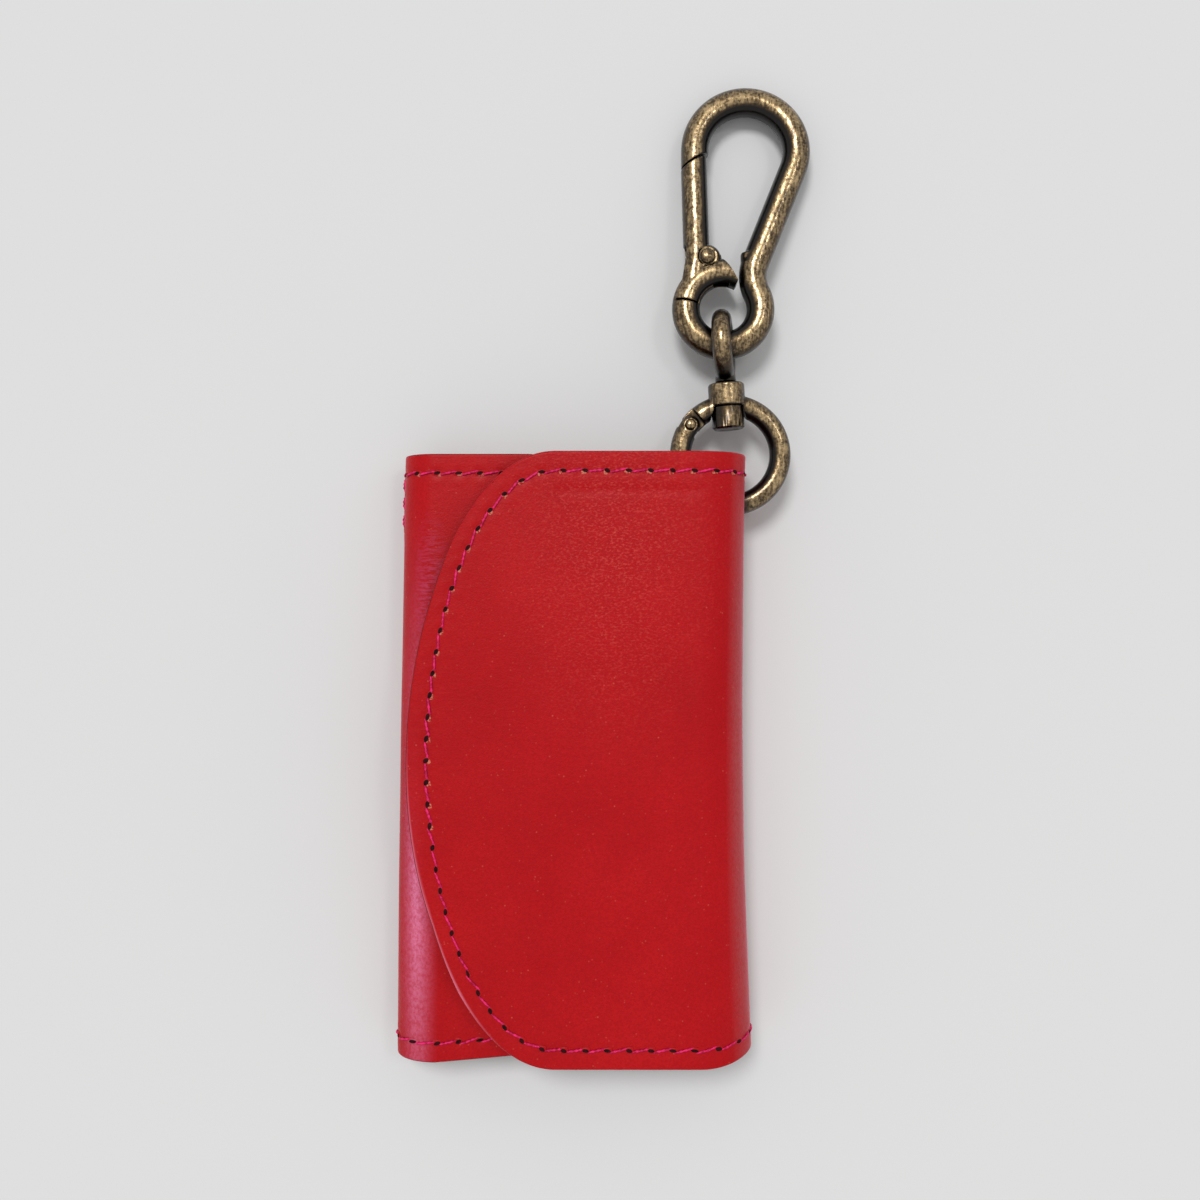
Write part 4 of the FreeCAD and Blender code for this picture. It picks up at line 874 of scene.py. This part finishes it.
def spread_with_use(piece):
    """Spread the folds and let the lower ends of both flaps slip, as on a used case."""
    for vertex in piece.data.vertices:
        x, y, z = vertex.co
        low = max(0.0, -y / HALF_HEIGHT) ** 2
        if piece.name.startswith("left_flap"):
            at_fold, at_edge = LEFT_SLIP
            slip = at_fold + (at_edge - at_fold) * share_of_way(x, LEFT_X, LEFT_EDGE_X)
            vertex.co.y += slip * low * share_of_way(z, 0.0, 2 * LEFT_FOLD)
        if piece.name.startswith("front_flap"):
            vertex.co.y += RIGHT_SLIP * low * share_of_way(x, RIGHT_X, RIGHT_X + RIGHT_FOLD) ** 2
        vertex.co.x = used_x(x, y)


def mark_painted_rim_highlight(piece):
    """How near each point of the front flap is to its curved edge, where a pale highlight is painted."""
    curve = oval_arc((CURVE_X, 0.0), CURVE_REACH, HALF_HEIGHT, 0, 180, -1)
    rim = point_tree([Vector((used_x(x, y), y, 0.0)) for x, y in spread(curve, RIM_STEPS)])
    marks = piece.data.attributes.new(PAINTED_RIM_HIGHLIGHT, "FLOAT", "POINT")
    for vertex, mark in zip(piece.data.vertices, marks.data):
        reach = rim.find((vertex.co.x, vertex.co.y, 0.0))[2]
        height = vertex.co.y
        brightened = share_of_way(height, *RIM_HIGHLIGHT_START) * share_of_way(height, *RIM_HIGHLIGHT_END)
        mark.value = share_of_way(reach, RIM_WIDTH, 0.0) * brightened


def is_cut_edge(piece, edge, wall):
    """Whether a sharp edge is neither a joint with the back nor a corner across the wall."""
    ends = [piece.data.vertices[index].co for index in edge.vertices]
    at_seam = any(all(abs(end.x - seam) < TOUCH and end.z < SEAM_HEIGHT for end in ends) for seam in SEAMS)
    upright = edge_span(piece, edge, Z_AXIS) > UPRIGHT_RISE * wall
    upright = upright and edge_span(piece, edge, X_AXIS) < UPRIGHT_DRIFT * wall
    return not at_seam and not upright


def finish_sheet(piece, wall, materials):
    """Give a sheet its thickness, round its cut edges and shade it."""
    activate(piece)
    for material in materials:
        piece.data.materials.append(material)
    modify(piece, "SOLIDIFY", thickness=wall, offset=-1.0, material_offset_rim=1)
    edit("EDGE")
    bpy.ops.object.mode_set(mode="EDIT")
    bpy.ops.mesh.edges_select_sharp(sharpness=CUT_ANGLE)
    bpy.ops.object.mode_set(mode="OBJECT")
    square = point_tree([vertex.co.copy() for vertex in piece.data.vertices])
    pick(piece.data.edges, lambda edge: edge.select and is_cut_edge(piece, edge, wall))
    bpy.ops.mesh.bevel(offset=min(EDGE_ROUND, wall * EDGE_SHARE), segments=EDGE_STEPS, affect="EDGES")
    bpy.ops.object.mode_set(mode="OBJECT")
    tuck_in_strays(piece, square)
    bpy.ops.object.shade_smooth_by_angle(angle=LEATHER_SMOOTH)
    return piece


def tuck_in_strays(piece, square):
    """Bring back the odd corner that the bevel has thrown outwards."""
    for vertex in piece.data.vertices:
        nearest, _, reach = square.find(vertex.co)
        if reach > STRAY_REACH:
            vertex.co = nearest


def punch(piece, radius, depth, spot, turn=(0.0, 0.0, 0.0)):
    """Cut a round hole with painted walls."""
    bpy.ops.mesh.primitive_cylinder_add(vertices=PUNCH_SIDES, radius=radius, depth=depth, location=spot,
                                        rotation=turn)
    tool = added("punch")
    bpy.ops.object.transform_apply(location=True, rotation=True, scale=True)
    tool.data.materials.append(PAINT)
    modify(piece, "BOOLEAN", operation="DIFFERENCE", object=tool, solver="EXACT", material_mode="TRANSFER")
    bpy.data.objects.remove(tool)
    bpy.ops.object.shade_smooth_by_angle(angle=LEATHER_SMOOTH)


def leather_case():
    """The back and both flaps, each of leather and lining."""
    layers = ((0.0, LEATHER, (RED, PAINT), "leather"), (LEATHER, LINING, (SUEDE, PAINT), "lining"))
    for depth, wall, materials, layer in layers:
        back = flat_sheet(f"back_{layer}_panel", depth)
        front = folded_sheet(f"front_flap_{layer}_sheet", RIGHT_X, RIGHT_FOLD, depth, 1, front_outline())
        left = folded_sheet(f"left_flap_{layer}_sheet", LEFT_X, LEFT_FOLD, depth, -1, left_outline())
        for piece, rows, place in ((back, BACK_ROWS, right_place), (front, RIGHT_ROWS, right_place),
                                   (left, LEFT_ROWS, left_place)):
            face_outwards(piece)
            front_leather = piece is front and layer == "leather"
            if layer == "leather":
                pull_in(piece, rows, place)
            if front_leather:
                press_line(piece)
            spread_with_use(piece)
            finish_sheet(piece, wall, materials)
            if front_leather:
                mark_painted_rim_highlight(piece)
        punch(front, *RING_HOLE, (0.0, math.pi / 2, 0.0))
        punch(front, *(SNAP_RECESS if layer == "leather" else SNAP_HOLE))
        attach(back, "case")
        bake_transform(front)
        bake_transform(left)
        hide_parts(f"back_{layer}")
        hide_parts(f"front_flap_{layer}")
        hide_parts(f"left_flap_{layer}")


def strip_place(x, y, out):
    """A point on the upper face of the key bar's strip."""
    return Vector((x, y, STRIP_HIGH.z + out))


def strip_rows():
    """One short row of stitches at each end of the key bar's strip."""
    low, high = STRIP_LOW.y + STRIP_CORNER, STRIP_HIGH.y - STRIP_CORNER
    return [even_points([(x, high), (x, low)]) for x in (STRIP_LOW.x + STRIP_SEAM, STRIP_HIGH.x - STRIP_SEAM)]


def key_strip():
    """The leather strip that the key bar is riveted to: rounded corners, soft edges."""
    middle, size = (STRIP_LOW + STRIP_HIGH) / 2, STRIP_HIGH - STRIP_LOW
    bpy.ops.mesh.primitive_cube_add(size=1.0, location=middle, scale=size)
    piece = added("key_bar_strip_leather")
    bpy.ops.object.transform_apply(location=True, rotation=True, scale=True)
    edit("EDGE")
    pick(piece.data.edges, lambda edge: edge_span(piece, edge, Z_AXIS) > TOUCH)
    bpy.ops.mesh.bevel(offset=STRIP_CORNER, segments=STRIP_CORNER_STEPS, affect="EDGES")
    bpy.ops.object.mode_set(mode="OBJECT")
    modify(piece, "BEVEL", width=STRIP_EDGE, segments=EDGE_STEPS, limit_method="ANGLE", angle_limit=CUT_ANGLE)
    bpy.ops.object.shade_smooth_by_angle(angle=LEATHER_SMOOTH)
    piece.data.materials.append(SUEDE)
    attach(piece, "case")
    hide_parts("key_bar_strip")


def stitching():
    """Every row of stitches, on the outside and the inside of the leather and on the strip."""
    patterns = twisted_stitch(), diamond_hole()
    patterns[0].data.materials.append(THREAD_PINK)
    for face, depth, lip in (("outer", 0.0, RED), ("inner", STACK, SUEDE)):
        patterns[1].data.materials[LIP_SLOT] = lip
        back = sew(f"back_stitches_{face}", BACK_ROWS, right_place, patterns, depth, depth > 0)
        front = sew(f"front_flap_stitches_{face}", RIGHT_ROWS, right_place, patterns, depth, depth > 0)
        left = sew(f"left_flap_stitches_{face}", LEFT_ROWS, left_place, patterns, depth, depth == 0)
        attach(back, "case")
        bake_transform(front)
        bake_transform(left)
        for piece in (back, front, left):
            spread_with_use(piece)
    strip = sew("key_bar_strip_stitches", strip_rows(), strip_place, patterns, 0.0, False)
    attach(strip, "case")
    for pattern in patterns:
        bpy.data.objects.remove(pattern)


# metal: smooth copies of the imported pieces, with the soft edges of castings on those that are cast
def loop_middle(node, spot):
    """The middle of the loop that a point of the hook or the ring is on."""
    if node.startswith("ring"):
        return RING_MIDDLE
    if spot.y < HOOK_WAIST_Y:
        return HOOK_EYE
    high, low = HOOK_LOOP
    share = (spot - low).dot(high - low) / (high - low).length_squared
    return low + (high - low) * share_of_way(share, 0.0, 1.0)


def painted_shade_share(node, spot, normal):
    """How much shade is painted on a point of the hardware: inside its loop, beside the collar, low on the
    eye and across the button.
    """
    if node == "swivel_eye":
        return EYE_SHADE * share_of_way(spot.y, EYE_UNSHADED_Y, EYE_FOOT_Y)
    if node == "swivel_button":
        across = share_of_way(spot.x, COLLAR.x + BUTTON_RADIUS, COLLAR.x - BUTTON_RADIUS)
        return BUTTON_SHADE + BUTTON_SHADE_RISE * across
    inward = loop_middle(node, spot) - spot
    inward.z = 0.0
    inside = normal.dot(inward.normalized())
    beside = abs(spot.x - COLLAR.x)
    if node == "ring_body" and beside > COLLAR_RADIUS:
        inside = max(inside, COLLAR_SHADE * share_of_way(beside, COLLAR_SHADE_REACH, COLLAR_RADIUS))
    return max(0.0, inside)


def mark_painted_shade_share(piece, node):
    """Keep the painted shade of each point as an attribute that the brass reads."""
    marks = piece.data.attributes.new(PAINTED_SHADE, "FLOAT", "POINT")
    for vertex, mark in zip(piece.data.vertices, marks.data):
        mark.value = painted_shade_share(node, vertex.co, vertex.normal)


def smooth_copy(node, material):
    """A copy of a packed metal piece with its points merged, softened if it is cast, and shaded smooth."""
    source = frame["nodes"][node]
    piece = bpy.data.objects.new(f"{node}_smooth", source.data.copy())
    bpy.context.collection.objects.link(piece)
    activate(piece)
    bpy.ops.object.mode_set(mode="EDIT")
    bpy.ops.mesh.select_all(action="SELECT")
    bpy.ops.mesh.remove_doubles(threshold=MERGE_REACH)
    bpy.ops.object.mode_set(mode="OBJECT")
    if node in CAST_GRIDS:
        modify(piece, "REMESH", mode="VOXEL", voxel_size=CAST_GRIDS[node])
        modify(piece, "SMOOTH", factor=CAST_SMOOTHING, iterations=CAST_ROUNDS)
    if node in CAST_GRIDS or node == "swivel_button":
        mark_painted_shade_share(piece, node)
    bpy.ops.object.shade_smooth_by_angle(angle=METAL_SMOOTH)
    piece.data.materials.clear()
    piece.data.materials.append(material)
    return piece


def hardware():
    """Every metal piece, on the body that carries it."""
    owners = {node: body for body, nodes in frame["record"]["behaviour"]["bodies"].items() for node in nodes}
    finishes = {"antique_brass": BRASS, "spring_steel": STEEL}
    for entry in frame["record"]["subparts"]:
        node, slot = entry["node"], entry["material_slot"]
        if slot in ("outer_leather", "lining_leather"):
            continue
        piece = smooth_copy(node, finishes[slot])
        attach(piece, owners[node])
        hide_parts(node)


leather_case()
key_strip()
stitching()
hardware()


# floor, light and camera
def studio_lamp(name, strength, softness, heading):
    """A distant lamp: softness is its width in degrees, heading is the way its light goes."""
    lamp = bpy.data.lights.new(name, "SUN")
    lamp.energy = strength
    lamp.angle = math.radians(softness)
    holder = bpy.data.objects.new(name, lamp)
    bpy.context.collection.objects.link(holder)
    holder.rotation_euler = heading.to_track_quat("-Z", "Y").to_euler()


def pale_backdrop():
    """Soft light from all round, which looks as pale as the floor and is mirrored so."""
    world = bpy.context.scene.world or bpy.data.worlds.new("studio")
    bpy.context.scene.world = world
    world.use_nodes = True
    nodes, links = world.node_tree.nodes, world.node_tree.links
    rays = nodes.new("ShaderNodeLightPath")
    seen = rays.outputs["Is Camera Ray"]
    for kind in ("Is Glossy Ray", "Is Transmission Ray"):
        either = nodes.new("ShaderNodeMath")
        either.operation = "MAXIMUM"
        links.new(seen, either.inputs[0])
        links.new(rays.outputs[kind], either.inputs[1])
        seen = either.outputs[0]
    strength = nodes.new("ShaderNodeMath")
    strength.operation = "MULTIPLY_ADD"
    links.new(seen, strength.inputs[0])
    strength.inputs[1].default_value = BACKDROP_TONE - SOFT_LIGHT
    strength.inputs[2].default_value = SOFT_LIGHT
    background = nodes["Background"]
    background.inputs["Color"].default_value = colour(1.0, 1.0, 1.0)
    links.new(strength.outputs[0], background.inputs["Strength"])


def stage_and_light():
    """A pale floor under the case, soft light from all round and two lamps."""
    bpy.ops.mesh.primitive_plane_add(size=FLOOR_SIZE, location=(0.0, 0.0, FLOOR_Z))
    floor = added("floor")
    finish = Finish("pale_floor")
    finish.set(Base_Color=colour(FLOOR_TONE, FLOOR_TONE, FLOOR_TONE), Roughness=0.9, Specular_IOR_Level=0.0)
    floor.data.materials.append(finish.material)
    pale_backdrop()
    studio_lamp("key_light", *KEY_LIGHT)
    studio_lamp("edge_light", *EDGE_LIGHT)


def camera_above():
    lens = bpy.data.cameras.new("camera")
    lens.sensor_fit = "HORIZONTAL"
    lens.angle = 2 * math.atan(FRAME_AT_FLAP / 2 / (CAMERA_HEIGHT - 2 * RIGHT_FOLD))
    lens.clip_start = NEAREST_SEEN
    camera = bpy.data.objects.new("camera", lens)
    bpy.context.collection.objects.link(camera)
    camera.location = (CAMERA_X, CAMERA_Y, CAMERA_HEIGHT)
    bpy.context.scene.camera = camera


stage_and_light()
camera_above()
bpy.context.scene.view_settings.view_transform = "Standard"
